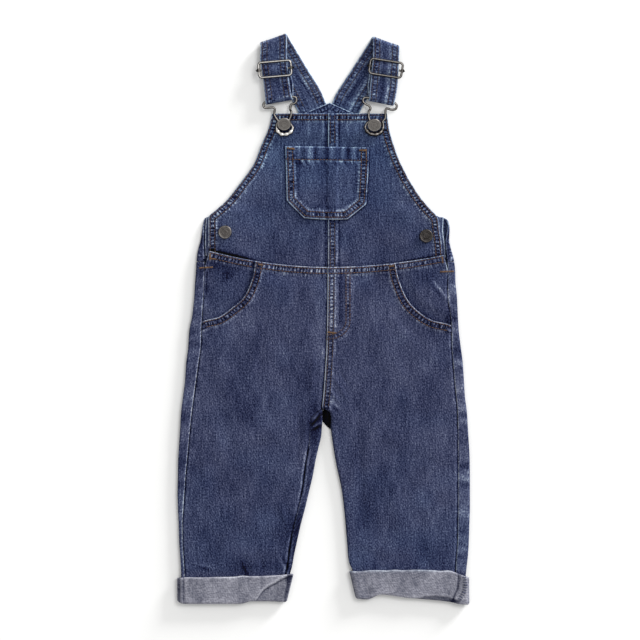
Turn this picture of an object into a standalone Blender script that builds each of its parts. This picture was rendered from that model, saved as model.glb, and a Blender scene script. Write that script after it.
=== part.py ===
"""Kids dungarees in washed denim, laid flat on a table with the front up.

All sizes are millimetres and become metres in the meshes. X runs to the viewer's right, Y to the neck and
Z up from the table. Left and right are the viewer's.
"""
import math
from bisect import bisect_right

import bpy
from mathutils import Vector

MM = 0.001

# Cloth
WALL = 1.2             # one layer of denim
GAP = 0.3              # clear space between two pieces
LAYER = WALL + GAP
HALF = WALL / 2
HEM_RISE = 0.5         # a hem or felled seam stands this much over the plain cloth
HEM_BAND = 7.5         # width of a twin stitched hem
FLY_EDGE = 23.0        # the mock fly's outer row, from the fold at the centre
LEG_TOP = 4.8          # middle of a leg's upper layer, above the table
LEG_FOLD = 2.1         # radius of the cloth where a leg turns over at its side
WAIST_LAP = 6.0        # how far the bib reaches down under the trousers' top edge
FACING_LAP = 7.0       # how far a pocket facing reaches under the front

# Turned-up cuffs
CUFF_WALL = 2.4
CUFF_HIGH = 8.3
CUFF_FLOOR = CUFF_WALL + GAP

# Straps and metal
STRAP_THICK = 2.0
STRAP_FOLD = 3.0       # radius of the strap's middle where it turns over at the shoulder
HOOK_FOLD = 2.3        # and where it turns round the hook's bar
WIRE = 0.8             # radius of the hook's wire
SLIDER_LONG = 34.0
SLIDER_WIDE = 16.5
SLIDER_WIRE = 0.75
SLIDER_CORNER = 3.0
SLIDER_HIGH = 9.0
SLIDER_BAR_HIGH = 6.4
BIB_BUTTON = 13.7
SIDE_BUTTON = 13.4
BUTTON_TILT = 28.0

CENTRE = (0.34, 0.07)  # middle of the garment's outline in the tables' x and y

# Colours, linear
DENIM = (0.056, 0.067, 0.130)
DENIM_DEEP = (0.040, 0.048, 0.098)
DENIM_BACK = (0.220, 0.222, 0.265)
ANTIQUE_METAL = (0.150, 0.135, 0.125)

# Each leg's outer side: y, x of the fold at the side, x of the side seam on top
LEFT_SIDE = (
    (57, -126.9, -119.0), (51, -127.2, -118.7), (37, -128.2, -119.4), (21, -129.2, -120.0),
    (3, -131.2, -121.2), (-13, -134.2, -121.9), (-29, -135.2, -122.7), (-45, -137.2, -124.9),
    (-61, -138.2, -127.2), (-77, -140.2, -129.3), (-93, -142.2, -131.4), (-109, -143.2, -133.1),
    (-125, -144.2, -134.7), (-141, -145.2, -136.2), (-157, -145.4, -137.7), (-173, -145.8, -138.8),
    (-189, -145.4, -139.8), (-205, -144.6, -140.8), (-221, -144.2, -140.6), (-237, -143.2, -139.7),
    (-252, -142.2, -138.8), (-262, -141.8, -138.4),
)
RIGHT_SIDE = (
    (57, 131.3, 124.2), (48, 132.1, 125.0), (37, 132.4, 124.7), (23, 133.8, 124.4),
    (11, 134.4, 126.3), (-3, 135.1, 128.2), (-13, 135.8, 128.5), (-29, 137.8, 128.8),
    (-45, 139.8, 130.1), (-61, 140.8, 131.3), (-77, 141.8, 133.0), (-93, 143.8, 134.4),
    (-109, 144.8, 134.8), (-125, 145.8, 134.9), (-141, 146.6, 135.0), (-173, 146.8, 135.0),
    (-189, 146.8, 135.0), (-205, 146.3, 134.8), (-221, 145.8, 134.6), (-237, 144.8, 133.4),
    (-247, 143.6, 132.8), (-256, 142.7, 132.5), (-262, 142.2, 132.0),
)
# The left leg's inner side: y, x of the fold, x of the inseam on top
LEFT_INNER = (
    (-94, -0.9, -7.2), (-99, -0.7, -11.7), (-108, -1.2, -13.2), (-116, -1.8, -13.8),
    (-130, -5.0, -14.5), (-141, -7.5, -16.6), (-157, -10.4, -18.6), (-173, -14.2, -20.9),
    (-189, -18.0, -24.7), (-205, -22.2, -28.6), (-221, -25.8, -31.9), (-237, -29.2, -34.0),
    (-247, -31.0, -35.4), (-256, -33.4, -37.4), (-262, -34.8, -38.8),
)
# The right leg's inner side: y, x of the fold where the front turns down
RIGHT_INNER = (
    (-89, -0.7), (-92, 4.5), (-96, 7.6), (-102, 7.8), (-109, 7.4), (-123, 9.4), (-141, 12.2),
    (-157, 15.5), (-173, 18.8), (-189, 20.8), (-205, 22.2), (-221, 23.8), (-237, 24.8),
    (-245, 26.4), (-251, 29.3), (-255, 30.5), (-262, 32.5),
)
# Trouser fronts above the crotch, a row for each section: left edge x, y and right edge x, y.
# The left front runs from the pocket mouth and then the side seam to the centre seam.
FRONT_LEFT_TOP = (
    (-67.7, 57.9, 4.1, 51.9), (-69.0, 48.0, 4.1, 43.0), (-73.5, 32.7, 4.1, 33.0),
    (-79.8, 21.2, 4.0, 22.0), (-91.3, 11.0, 3.9, 11.0), (-104.2, 2.0, 3.7, 0.0),
    (-121.4, -3.7, 3.5, -11.0), (-122.3, -25.0, 2.9, -31.0), (-124.9, -47.0, 1.6, -52.0),
    (-127.9, -68.0, 0.3, -71.0), (-130.7, -89.0, -1.4, -88.4),
)
# The right front runs from the centre seam to the pocket mouth and then the side seam.
FRONT_RIGHT_TOP = (
    (4.4, 51.9, 72.1, 55.9), (4.4, 43.0, 74.0, 45.0), (4.4, 33.0, 78.5, 31.0), (4.3, 22.0, 85.0, 18.0),
    (4.2, 11.0, 95.0, 7.5), (4.0, 0.0, 108.5, -1.2), (3.8, -11.0, 128.1, -7.4), (3.2, -31.0, 128.5, -25.0),
    (1.9, -52.0, 130.1, -47.0), (0.6, -71.0, 131.8, -68.0), (-1.0, -88.4, 133.8, -89.0),
    (3.2, -91.0, 134.1, -91.0),
)
# Sections below the crotch, shared by fronts and backs
LEG_ROWS = (-94, -99, -103, -108, -121, -135, -150, -170, -190, -209, -228, -236, -244, -250, -255, -262)
# Bib halves in the same four columns, from the armhole hem to the centre seam and from there to the armhole
BIB_LEFT = (
    (-51.2, 205.5, 4.7, 205.5), (-52.7, 197.5, 4.7, 197.5), (-55.2, 189.0, 4.7, 189.0),
    (-62.2, 173.0, 4.7, 173.0), (-68.2, 157.0, 4.7, 157.5), (-73.2, 149.0, 4.7, 149.5),
    (-79.2, 141.0, 4.7, 141.5), (-85.2, 133.0, 4.7, 133.5), (-91.2, 125.0, 4.7, 125.5),
    (-98.2, 117.0, 4.7, 117.0), (-107.2, 109.0, 4.7, 108.0), (-114.8, 101.0, 4.7, 98.5),
    (-114.8, 89.0, 4.7, 86.0), (-114.8, 76.0, 4.7, 71.0), (-114.4, 62.6, 4.7, 45.9),
)
BIB_RIGHT = (
    (5.0, 205.5, 63.8, 205.5), (5.0, 197.5, 64.8, 197.5), (5.0, 189.0, 66.2, 189.0),
    (5.0, 173.0, 70.8, 173.0), (5.0, 157.5, 76.8, 157.0), (5.0, 149.5, 80.8, 149.0),
    (5.0, 141.5, 84.8, 141.0), (5.0, 133.5, 89.8, 133.0), (5.0, 125.5, 94.8, 125.0),
    (5.0, 117.0, 100.8, 117.0), (5.0, 108.0, 107.8, 109.0), (5.0, 98.5, 114.8, 100.5),
    (5.0, 86.0, 116.3, 89.0), (5.0, 71.0, 118.3, 76.0), (5.0, 45.9, 119.6, 57.2),
)
# Back bodice in the same four columns, then for the left and the right side the fold's radius, how far it
# turns in degrees, and the length of cloth past the fold's foot
BACK_BIB = (
    (-20.7, 205.0, 33.3, 204.5, 1.2, 0, 2.0, 1.2, 0, 2.0),
    (-24.5, 200.0, 37.3, 199.5, 1.2, 0, 2.0, 1.2, 0, 2.0),
    (-30.0, 193.0, 42.5, 192.5, 1.2, 0, 2.0, 1.2, 0, 2.0),
    (-40.0, 182.0, 50.5, 182.0, 1.2, 0, 2.0, 1.2, 0, 2.0),
    (-52.5, 170.0, 60.5, 170.0, 1.2, 0, 2.0, 1.2, 0, 2.0),
    (-63.0, 155.0, 72.0, 155.0, 1.2, 0, 2.0, 1.2, 0, 2.0),
    (-74.5, 140.0, 80.0, 140.0, 1.2, 0, 2.0, 1.2, 0, 2.0),
    (-86.0, 125.0, 89.0, 125.0, 1.2, 0, 2.0, 1.2, 0, 2.0),
    (-98.5, 111.5, 100.0, 111.5, 1.2, 0, 2.0, 1.2, 0, 2.0),
    (-112.0, 103.2, 116.5, 102.2, 1.2, 0, 2.0, 1.2, 0, 2.0),
    (-118.6, 100.8, 123.2, 100.2, 1.2, 0, 2.0, 1.2, 0, 2.0),
    (-120.1, 96.5, 125.9, 96.5, 1.2, 30, 2.4, 1.2, 50, 2.6),
    (-121.2, 90.0, 126.6, 90.0, 1.2, 130, 3.4, 1.2, 150, 4.2),
    (-122.6, 80.0, 126.2, 80.0, 1.2, 180, 4.8, 1.2, 180, 5.4),
    (-124.6, 72.0, 127.4, 72.0, 1.6, 180, 7.7, 1.6, 180, 7.1),
    (-126.2, 65.0, 129.4, 65.0, 1.9, 180, 10.1, 1.9, 180, 9.3),
    (-126.9, 57.4, 131.3, 57.4, 2.1, 180, 11.4, 2.1, 180, 11.0),
)
# Bib pocket in the same four columns, from the top down; the last rows round off the two cut corners
POCKET = (
    (-37.8, 172.8, 45.3, 171.6), (-37.6, 160.2, 45.3, 158.4), (-37.1, 148.0, 45.0, 146.0),
    (-36.7, 134.0, 44.0, 131.0), (-36.4, 118.5, 43.1, 114.9), (-28.4, 110.4, 34.2, 107.8),
    (-19.4, 101.5, 24.8, 100.2), (-19.0, 101.1, 24.4, 99.9),
)
# Hip pocket facings: the pocket mouth on the front's edge, x, y
LEFT_MOUTH = (
    (-67.7, 57.9), (-69.0, 48.0), (-73.5, 32.7), (-79.8, 21.2), (-91.3, 11.0), (-104.2, 2.0), (-121.2, -3.7),
)
RIGHT_MOUTH = (
    (72.1, 55.9), (74.0, 45.0), (78.5, 31.0), (85.0, 18.0), (95.0, 7.5), (108.5, -1.2), (128.1, -7.4),
)
# Straps: x, y of the left edge, x, y of the right edge and the height of the strap's middle, from the end
# under the back's peak to the shoulder
LEFT_STRAP_BACK = (
    (-19.9, 197.0, 5.4, 210.2, 1.0), (-24.7, 206.5, 3.4, 214.5, 1.0), (-30.7, 218.0, -0.7, 224.5, 1.0),
    (-36.7, 229.0, -6.2, 235.0, 1.0), (-43.2, 241.0, -13.7, 247.0, 1.0), (-50.2, 253.0, -21.2, 259.0, 1.0),
    (-56.2, 264.0, -28.2, 271.0, 1.0), (-61.2, 272.9, -35.0, 282.1, 1.0),
)
# from the shoulder over the slider's bar to the hook
LEFT_STRAP_FRONT = (
    (-62.5, 272.5, -36.3, 281.8, 7.0), (-63.0, 266.0, -36.3, 273.0, 7.0), (-63.1, 259.0, -36.2, 263.0, 6.9),
    (-62.7, 255.7, -36.0, 258.2, 6.9), (-61.5, 248.4, -35.6, 250.8, 8.5), (-60.3, 240.9, -35.0, 243.2, 6.9),
    (-59.2, 231.0, -33.6, 234.0, 7.2), (-58.0, 222.0, -32.2, 225.6, 7.8), (-57.9, 217.3, -31.4, 222.1, 8.0),
)
# and from the hook back up behind, to the slider's bar
LEFT_STRAP_REAR = (
    (-56.6, 217.6, -30.0, 222.4, 3.4), (-56.0, 229.0, -30.0, 233.6, 3.8), (-57.2, 238.5, -31.6, 242.0, 4.2),
    (-59.6, 245.6, -33.6, 248.0, 4.3),
)
RIGHT_STRAP_BACK = (
    (7.4, 211.6, 32.5, 198.6, 1.0), (8.6, 215.2, 37.0, 207.6, 1.0), (13.0, 225.6, 42.6, 218.0, 1.0),
    (19.4, 235.6, 49.4, 229.4, 1.0), (27.2, 247.6, 56.2, 240.6, 1.0), (35.0, 259.8, 62.6, 251.4, 1.0),
    (42.0, 270.6, 69.0, 262.0, 1.0), (47.0, 279.0, 73.8, 269.6, 1.0),
)
RIGHT_STRAP_FRONT = (
    (49.6, 278.6, 76.0, 269.2, 7.0), (49.9, 271.0, 75.9, 263.0, 7.0), (49.8, 263.0, 75.8, 258.4, 6.9),
    (49.7, 260.0, 75.7, 256.2, 6.9), (48.8, 252.6, 75.3, 248.6, 8.5), (48.1, 245.2, 74.8, 241.3, 6.9),
    (47.2, 235.0, 74.0, 230.5, 7.2), (46.2, 225.4, 72.2, 220.2, 7.8), (46.3, 221.0, 71.3, 216.1, 8.0),
)
RIGHT_STRAP_REAR = (
    (45.0, 221.4, 70.0, 216.5, 3.4), (44.6, 233.0, 70.4, 228.6, 3.8), (46.0, 242.0, 72.0, 237.8, 4.2),
    (47.2, 249.6, 73.4, 245.6, 4.3),
)
# Hooks: the wire's middle x, y and how high it lies over the bib or, on the bar, over the table
LEFT_HOOK = (
    (-58.4, 217.1, 5.7), (-44.0, 219.7, 5.7), (-30.2, 222.2, 5.7), (-27.2, 221.4, 5.7), (-26.6, 218.4, 5.6),
    (-28.6, 215.6, 5.4), (-32.4, 214.2, 5.2), (-33.0, 209.5, 4.9), (-31.8, 206.8, 0), (-32.4, 202.5, 0),
    (-33.9, 198.6, 0), (-32.6, 195.0, 0), (-29.9, 190.8, 0), (-32.4, 186.2, 0), (-36.6, 185.4, 0),
    (-40.0, 184.0, 0), (-43.4, 186.6, 0), (-46.6, 190.0, 0), (-46.8, 194.0, 0), (-45.0, 197.6, 0),
    (-47.4, 201.4, 0), (-49.0, 205.4, 0), (-48.4, 209.6, 4.9), (-50.8, 211.6, 5.2), (-56.4, 211.0, 5.4),
    (-60.4, 211.2, 5.6), (-61.3, 214.0, 5.7),
)
RIGHT_HOOK = (
    (43.2, 221.4, 5.7), (58.0, 218.5, 5.7), (72.9, 215.6, 5.7), (75.2, 212.8, 5.7), (73.8, 209.6, 5.6),
    (68.6, 209.2, 5.4), (63.8, 210.6, 5.1), (62.3, 208.0, 4.9), (62.2, 201.5, 0), (59.6, 197.2, 0),
    (61.0, 193.2, 0), (59.8, 189.0, 0), (56.0, 186.4, 0), (52.1, 184.0, 0), (48.2, 185.6, 0),
    (44.2, 187.4, 0), (41.5, 191.8, 0), (43.6, 195.4, 0), (46.6, 198.4, 0), (45.5, 202.0, 0),
    (45.6, 206.8, 0), (47.3, 210.4, 4.9), (46.0, 213.0, 5.2), (42.0, 215.2, 5.4), (39.8, 218.2, 5.6),
    (40.6, 220.8, 5.7),
)
# Sliders: centre x, y and turn in degrees. Buttons: centre x, y.
LEFT_SLIDER = (-48.2, 249.6, 5.0)
RIGHT_SLIDER = (62.6, 250.4, -9.0)
LEFT_BIB_BUTTON = (-39.0, 195.0)
RIGHT_BIB_BUTTON = (51.1, 194.0)
LEFT_SIDE_BUTTON = (-98.2, 86.8)
RIGHT_SIDE_BUTTON = (103.0, 83.0)
# Cuffs: share of the width from the left, y of the upper edge, y of the lower edge
LEFT_CUFF = ((0.0, -258.8, -282.2), (0.06, -258.5, -284.6), (0.35, -257.6, -284.7), (0.58, -257.0, -284.6),
             (0.68, -256.7, -282.0), (0.85, -256.3, -282.2), (1.0, -255.2, -283.0))
LEFT_CUFF_SIDES = (-146.2, -29.6, -146.0, -36.4)
RIGHT_CUFF = ((0.0, -252.2, -279.4), (0.10, -251.9, -280.2), (0.22, -251.4, -275.4), (0.45, -250.9, -278.6),
              (0.60, -250.8, -280.0), (0.82, -251.6, -282.6), (0.92, -255.0, -285.0), (1.0, -258.6, -285.6))
RIGHT_CUFF_SIDES = (26.0, 145.9, 32.6, 146.2)
# Long soft folds and rises of the upper layer: x, y, half length, half width, direction in degrees, height
SOFT_FOLDS = (
    (-60, -20, 46, 11, 62, 0.55), (-96, -70, 40, 12, -74, 0.45), (-70, -118, 52, 13, 20, 0.50),
    (-98, -196, 44, 13, -35, 0.55), (-58, -232, 34, 10, 12, 0.45), (58, -24, 44, 12, -58, 0.50),
    (92, -66, 42, 12, 78, 0.45), (66, -116, 54, 13, -22, 0.50), (84, -190, 46, 14, 34, 0.55),
    (52, -228, 32, 10, -14, 0.45), (-50, 88, 40, 11, 16, 0.35), (70, 84, 38, 11, -18, 0.35),
)


def ease(a, b, x):
    """0 before a and 1 past b, with a soft start and end."""
    t = min(1.0, max(0.0, (x - a) / (b - a)))
    return t * t * (3.0 - 2.0 * t)


def through(xs, ys):
    """A smooth curve through every (x, y) that never swings past its neighbours."""
    n = len(xs)
    step = [xs[i + 1] - xs[i] for i in range(n - 1)]
    rise = [(ys[i + 1] - ys[i]) / step[i] for i in range(n - 1)]
    slope = [rise[0]]
    for i in range(1, n - 1):
        a, b = rise[i - 1], rise[i]
        if a * b <= 0:
            slope.append(0.0)
        else:
            wa, wb = 2 * step[i] + step[i - 1], step[i] + 2 * step[i - 1]
            slope.append((wa + wb) / (wa / a + wb / b))
    slope.append(rise[-1])

    def at(x):
        i = min(n - 2, max(0, bisect_right(xs, x) - 1))
        h = step[i]
        t = min(1.0, max(0.0, (x - xs[i]) / h))
        u = 1.0 - t
        return (ys[i] * (1 + 2 * t) * u * u + slope[i] * h * t * u * u
                + ys[i + 1] * t * t * (3 - 2 * t) - slope[i + 1] * h * t * t * u)
    return at


def columns(table):
    """One smooth curve for each column of a table, by row number."""
    rows = list(range(len(table)))
    return [through(rows, [row[k] for row in table]) for k in range(len(table[0]))]


def by_y(table):
    """One smooth curve for each column after the first, by y going down the garment."""
    down = [-row[0] for row in table]
    curves = [through(down, [row[k] for row in table]) for k in range(1, len(table[0]))]
    return [lambda y, c=c: c(-y) for c in curves]


left_fold, left_seam = by_y(LEFT_SIDE)
right_fold, right_seam = by_y(RIGHT_SIDE)
left_inner_fold, left_inseam = by_y(LEFT_INNER)
right_inner_fold = by_y(RIGHT_INNER)[0]


FRONT_LEFT = FRONT_LEFT_TOP + tuple(
    (left_seam(y) + GAP / 2, y, left_inseam(y) - GAP / 2, y) for y in LEG_ROWS)
FRONT_RIGHT = FRONT_RIGHT_TOP + tuple(
    (right_inner_fold(y), y, right_seam(y) - GAP / 2, y) for y in LEG_ROWS)


def waist(x):
    """The trousers' top edge, which sags to the centre."""
    return 51.9 + (16.1 * ((x - 4.8) / 118.4) ** 2 if x < 4.8 else 11.9 * ((x - 4.8) / 115.7) ** 2)


def soft(x, y):
    """Height of the long soft folds in the upper layer."""
    total = 0.0
    for cx, cy, long, wide, turn, high in SOFT_FOLDS:
        a = math.radians(turn)
        p = ((x - cx) * math.cos(a) + (y - cy) * math.sin(a)) / long
        q = ((y - cy) * math.cos(a) - (x - cx) * math.sin(a)) / wide
        if abs(p) < 2 and abs(q) < 2:
            total += high * math.exp(-1.6 * (p * p + q * q))
    return min(total, 0.7)


def lift(y, leg):
    """The leg's underside rises off the table to enter the cuff."""
    return CUFF_FLOOR * (ease(-241.0, -254.5, y) if leg < 0 else ease(-235.0, -248.5, y))


def leg_top(x, y):
    """Middle of the leg's upper layer."""
    at_cuff = ease(-236.0, -250.0, y)
    return LEG_TOP + 0.2 * at_cuff + soft(x, y) * (1 - at_cuff)


def back_low(y):
    return (STRAP_THICK + GAP) * ease(182.0, 196.0, y)


def over_placket(x, y):
    side = 1 - ease(-90.0, -60.0, x) if x < 0 else ease(60.0, 88.0, x)
    return side * (1 - ease(106.0, 118.0, y))


def bib_low(x, y):
    """Underside of the bib, over the back's peak and the button extensions."""
    peak = (STRAP_THICK + GAP) * ease(172.0, 190.0, y) * (1 - ease(38.0, 56.0, abs(x - 6.4)))
    return LAYER + peak + LAYER * over_placket(x, y) + soft(x, y)


def front_low(x, y):
    """Underside of the trouser fronts: over bib and facing at the waist, then over the open leg."""
    near = ease(waist(x) - 26.0, waist(x) - 8.0, y)
    over_facing = LAYER * ease(50.0, 60.0, abs(x - 2.5))
    over_seam = HEM_RISE * ease(1.0, 4.0, x) * (1 - ease(15.0, 21.0, x))
    return near * (bib_low(x, y) + LAYER + over_facing + over_seam) + (1 - near) * (leg_top(x, y) - HALF)


def mouth_distance(x, y, mouth):
    """How far a point lies from a pocket mouth."""
    best = 1e9
    for (ax, ay), (bx, by) in zip(mouth, mouth[1:]):
        dx, dy = bx - ax, by - ay
        t = min(1.0, max(0.0, ((x - ax) * dx + (y - ay) * dy) / (dx * dx + dy * dy)))
        best = min(best, math.hypot(x - ax - t * dx, y - ay - t * dy))
    return best


def facing_low(x, y, mouth, hidden):
    """Underside of a pocket facing: level with the side seam, lower at the mouth and under the front."""
    near = ease(waist(x) - 16.0, waist(x) - 8.0, y)
    out = 0.0 if hidden else ease(1.0, 14.0, mouth_distance(x, y, mouth))
    open_part = leg_top(x, y) - HALF - LAYER * (1 - out)
    return near * (bib_low(x, y) + LAYER) + (1 - near) * open_part


def place(name, data, finish, garment):
    """One object with a material of its own. A finish is its kind, colour, roughness and metallic value."""
    kind, colour, rough, metal = finish
    made = bpy.data.materials.new(f"{name}_{kind}")
    made.use_nodes = True
    shader = made.node_tree.nodes["Principled BSDF"]
    shader.inputs["Base Color"].default_value = (*colour, 1.0)
    shader.inputs["Roughness"].default_value = rough
    shader.inputs["Metallic"].default_value = metal
    made.diffuse_color = (*colour, 1.0)
    data.materials.append(made)
    made = bpy.data.objects.new(name, data)
    made.parent = garment
    garment.users_collection[0].objects.link(made)
    return made


def wall(name, outer, inner, finish, garment, ring=False):
    """A closed wall of cloth between two grids of points of the same size."""
    rows, across = len(outer), len(outer[0])
    points = [p for grid in (outer, inner) for row in grid for p in row]
    under = rows * across
    faces = []
    last = across if ring else across - 1
    for i in range(rows - 1):
        for j in range(last):
            k = (j + 1) % across
            a, b, c, d = i * across + j, i * across + k, (i + 1) * across + k, (i + 1) * across + j
            faces.append((a, b, c, d))
            faces.append((under + d, under + c, under + b, under + a))
    for i, turn in ((0, 1), (rows - 1, -1)):
        for j in range(last):
            a, b = i * across + j, i * across + (j + 1) % across
            faces.append((b, a, under + a, under + b)[::turn])
    if not ring:
        for j, turn in ((0, 1), (across - 1, -1)):
            for i in range(rows - 1):
                a, b = i * across + j, (i + 1) * across + j
                faces.append((a, b, under + b, under + a)[::turn])
    corner, right, down = (Vector(points[n]) for n in (0, 1, across))
    if (right - corner).cross(down - corner).dot(Vector(points[0]) - Vector(points[under])) < 0:
        faces = [face[::-1] for face in faces]
    data = bpy.data.meshes.new(name)
    data.from_pydata([tuple(c * MM for c in p) for p in points], [], faces)
    data.update()
    data.shade_smooth()
    data.set_sharp_from_angle(angle=math.radians(40))
    return place(name, data, finish, garment)


def edge_squareness(ax, ay, bx, by, wx, wy):
    """Sine between an edge's direction and the direction across the panel."""
    cross = abs((bx - ax) * wy - (by - ay) * wx)
    return max(0.45, cross / (math.hypot(bx - ax, by - ay) * math.hypot(wx, wy)))


def panel(table, top=None, bottom=None, fade=4.0):
    """A flat panel lofted between its two edges. at(v, u) gives x and y, near(v) and far(v) the share of the
    width that one millimetre in from the left and the right edge is worth. top and bottom are the curves that
    the first and the last section follow."""
    lx, ly, rx, ry = columns(table)[:4]
    end = len(table) - 1

    def at(v, u):
        x = lx(v) + (rx(v) - lx(v)) * u
        y = ly(v) + (ry(v) - ly(v)) * u
        for curve, row, away in ((top, 0, v), (bottom, end, end - v)):
            if curve and away < fade:
                line_x = lx(row) + (rx(row) - lx(row)) * u
                line_y = ly(row) + (ry(row) - ly(row)) * u
                y += (curve(line_x) - line_y) * (1 - away / fade) ** 2
        return x, y

    def share(v, ex, ey):
        a, b = max(0.0, v - 0.3), min(end, v + 0.3)
        wx, wy = rx(v) - lx(v), ry(v) - ly(v)
        square = edge_squareness(ex(a), ey(a), ex(b), ey(b), wx, wy)
        return 1.0 / (square * math.hypot(wx, wy))

    return at, lambda v: share(v, lx, ly), lambda v: share(v, rx, ry), end


def flat_wall(name, shape, rows, near, middle, far, low, rise, finish, garment):
    """A panel's wall. near and far are distances in from its edges, middle the number of equal parts between
    them, low its underside and rise what its outer face stands proud."""
    at, left_share, right_share, _ = shape
    outer, inner = [], []
    for v in rows:
        a, b = left_share(v), right_share(v)
        first = [d * a for d in near]
        last = [1 - d * b for d in far]
        us = first + [first[-1] + (last[0] - first[-1]) * k / middle for k in range(1, middle)] + last
        top_row, low_row = [], []
        for u in us:
            x, y = at(v, u)
            z = low(x, y)
            low_row.append((x, y, z))
            top_row.append((x, y, z + WALL + rise(u / a, (1 - u) / b, x, y, v)))
        outer.append(top_row)
        inner.append(low_row)
    return wall(name, outer, inner, finish, garment)


def turned_side(x_out, way, radius, turn, reach, arc_parts, flat_parts):
    """Section of cloth that turns up at a side: (x, height, across, up) from the fold's foot to its edge,
    where across and up is the direction out of the cloth."""
    a = math.radians(turn)
    arc = radius * a
    if turn >= 90:
        span = radius + HALF
    else:
        span = radius * math.sin(a) + (reach - arc) * math.cos(a) + HALF * math.sin(a)
    foot = x_out - way * span
    first = arc if turn >= 179 else max(arc, 0.5 * reach)
    runs = [first * k / arc_parts for k in range(arc_parts + 1)]
    runs += [first + (reach - first) * k / flat_parts for k in range(1, flat_parts + 1)]
    points = []
    for run in runs:
        angle = min(run / radius, a)
        past = max(0.0, run - arc)
        dx = radius * math.sin(angle) + past * math.cos(a)
        dz = radius * (1 - math.cos(angle)) + past * math.sin(a)
        points.append((foot + way * dx, dz, way * math.sin(angle), -math.cos(angle)))
    return points


def section_walls(sections):
    """Outer and inner grids from sections of (x, y, z, across, up)."""
    outer = [[(x + a * HALF, y, z + b * HALF) for x, y, z, a, b in row] for row in sections]
    inner = [[(x - a * HALF, y, z - b * HALF) for x, y, z, a, b in row] for row in sections]
    return outer, inner


def back_section(y, left, right, middle):
    """Section of a trouser back: its left side, the flat underside and its right side."""
    first = list(reversed(left))
    gap = right[0][0] - left[0][0]
    flat = [(left[0][0] + gap * k / middle, 0.0, 0.0, -1.0) for k in range(1, middle)]
    return [(x, y, dz, a, b) for x, dz, a, b in first + flat + list(right)]


def rounded(section, base, top):
    """Lifts a section to its base and brings its turned part to the upper layer's height."""
    row = []
    for x, y, dz, a, b in section:
        up = 0.5 * (1 + b)
        row.append((x, y, base + dz + up * (top(x, y) - base - dz) if up > 0 else base + dz, a, b))
    return row


def left_back_inner(y):
    """The left back's inner side: flat above the crotch, then turned up and over to the inseam."""
    turns = through([84, 88, 91, 94], [0, 40, 120, 180])
    reach = through([84, 88, 91, 94], [3.0, 3.3, 6.0, 9.9])
    fold = through([60, 84, 88, 91, 94], [1.8, 1.6, 0.9, -0.5, -0.9])
    if y > -94:
        return fold(-y), turns(-y), reach(-y)
    x = left_inner_fold(y)
    return x, 180.0, None


def build_left_back(finish, garment):
    sections = []
    for y in (57, 44, 30, 14, -3.7, -25, -47, -68, -84, -88, -91) + LEG_ROWS:
        base = HALF + lift(y, -1)
        radius = (leg_top(0, y) - soft(0, y) * (1 - ease(-236.0, -250.0, y)) - base) / 2
        edge = left_seam(y) - 0.15
        reach = math.pi * radius + max(0.6, edge - left_fold(y) - radius - HALF)
        left = turned_side(left_fold(y), -1, radius, 180, reach, 5, 2)
        x, turn, inner_reach = left_back_inner(y)
        if inner_reach is None:
            edge = left_inseam(y) + 0.15
            inner_reach = math.pi * radius + max(0.6, x - edge - radius - HALF)
        right = turned_side(x, 1, radius, turn, inner_reach, 5, 2)
        sections.append(rounded(back_section(y, left, right, 6), base, leg_top))
    outer, inner = section_walls(sections)
    return wall("back_left", outer, inner, finish, garment)


def build_right_back(finish, garment):
    crotch = through([60, 84, 88, 91, 94, 99, 103, 108, 113], [2.1, 1.9, 1.25, 0.6, 0.2, 0.2, 2.4, 6.0, 8.4])
    sections = []
    for y in (57, 44, 30, 14, 3, -7.4, -25, -47, -68, -84, -88, -91) + LEG_ROWS:
        base = HALF + lift(y, 1)
        radius = (leg_top(0, y) - soft(0, y) * (1 - ease(-236.0, -250.0, y)) - base) / 2
        edge = right_seam(y) + 0.15
        reach = math.pi * radius + max(0.6, right_fold(y) - edge - radius - HALF)
        right = turned_side(right_fold(y), 1, radius, 180, reach, 5, 2)
        start = crotch(-y) if y > -110 else right_inner_fold(y) + 0.4
        left = [(start, 0.0, 0.0, -1.0)]
        sections.append(rounded(back_section(y, left, right, 6), base, leg_top))
    outer, inner = section_walls(sections)
    return wall("back_right", outer, inner, finish, garment)


def peak(x, v):
    """The back's top edge rises to a blunt point between the straps."""
    return max(0.0, 1 - abs(x - 6.4) / 27.0) * 11.7 * (1 - ease(0.0, 3.0, v))


def build_back_bib(finish, garment):
    lx, ly, rx, ry, lr, lt, lreach, rr, rt, rreach = columns(BACK_BIB)
    outer, inner = [], []
    for v in [float(k) for k in range(len(BACK_BIB))]:
        left = turned_side(lx(v), -1, lr(v), lt(v), lreach(v), 4, 1)
        right = turned_side(rx(v), 1, rr(v), rt(v), rreach(v), 4, 1)
        first, last = left[0][0], right[0][0]
        stops = [first + (6.4 - first) * k / 4 for k in range(1, 5)]
        stops += [6.4 + (last - 6.4) * k / 4 for k in range(1, 4)]
        row = list(reversed(left)) + [(x, 0.0, 0.0, -1.0) for x in stops] + right
        section = []
        for x, dz, a, b in row:
            share = (x - lx(v)) / (rx(v) - lx(v))
            y = ly(v) + (ry(v) - ly(v)) * share + peak(x, v)
            section.append((x, y, HALF + back_low(y) + dz, a, b))
        outer.append([(x + a * HALF, y, z + b * HALF) for x, y, z, a, b in section])
        inner.append([(x - a * HALF, y, z - b * HALF) for x, y, z, a, b in section])
    return wall("back_bib", outer, inner, finish, garment)


def waist_rise(x, y):
    return 0.4 if waist(x) - y < 7.2 else 0.0


def front_left_rise(near, far, x, y, v):
    mouth = 0.4 if v < 6.4 and near < HEM_BAND + 0.4 else 0.0
    return max(mouth, waist_rise(x, y))


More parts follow.
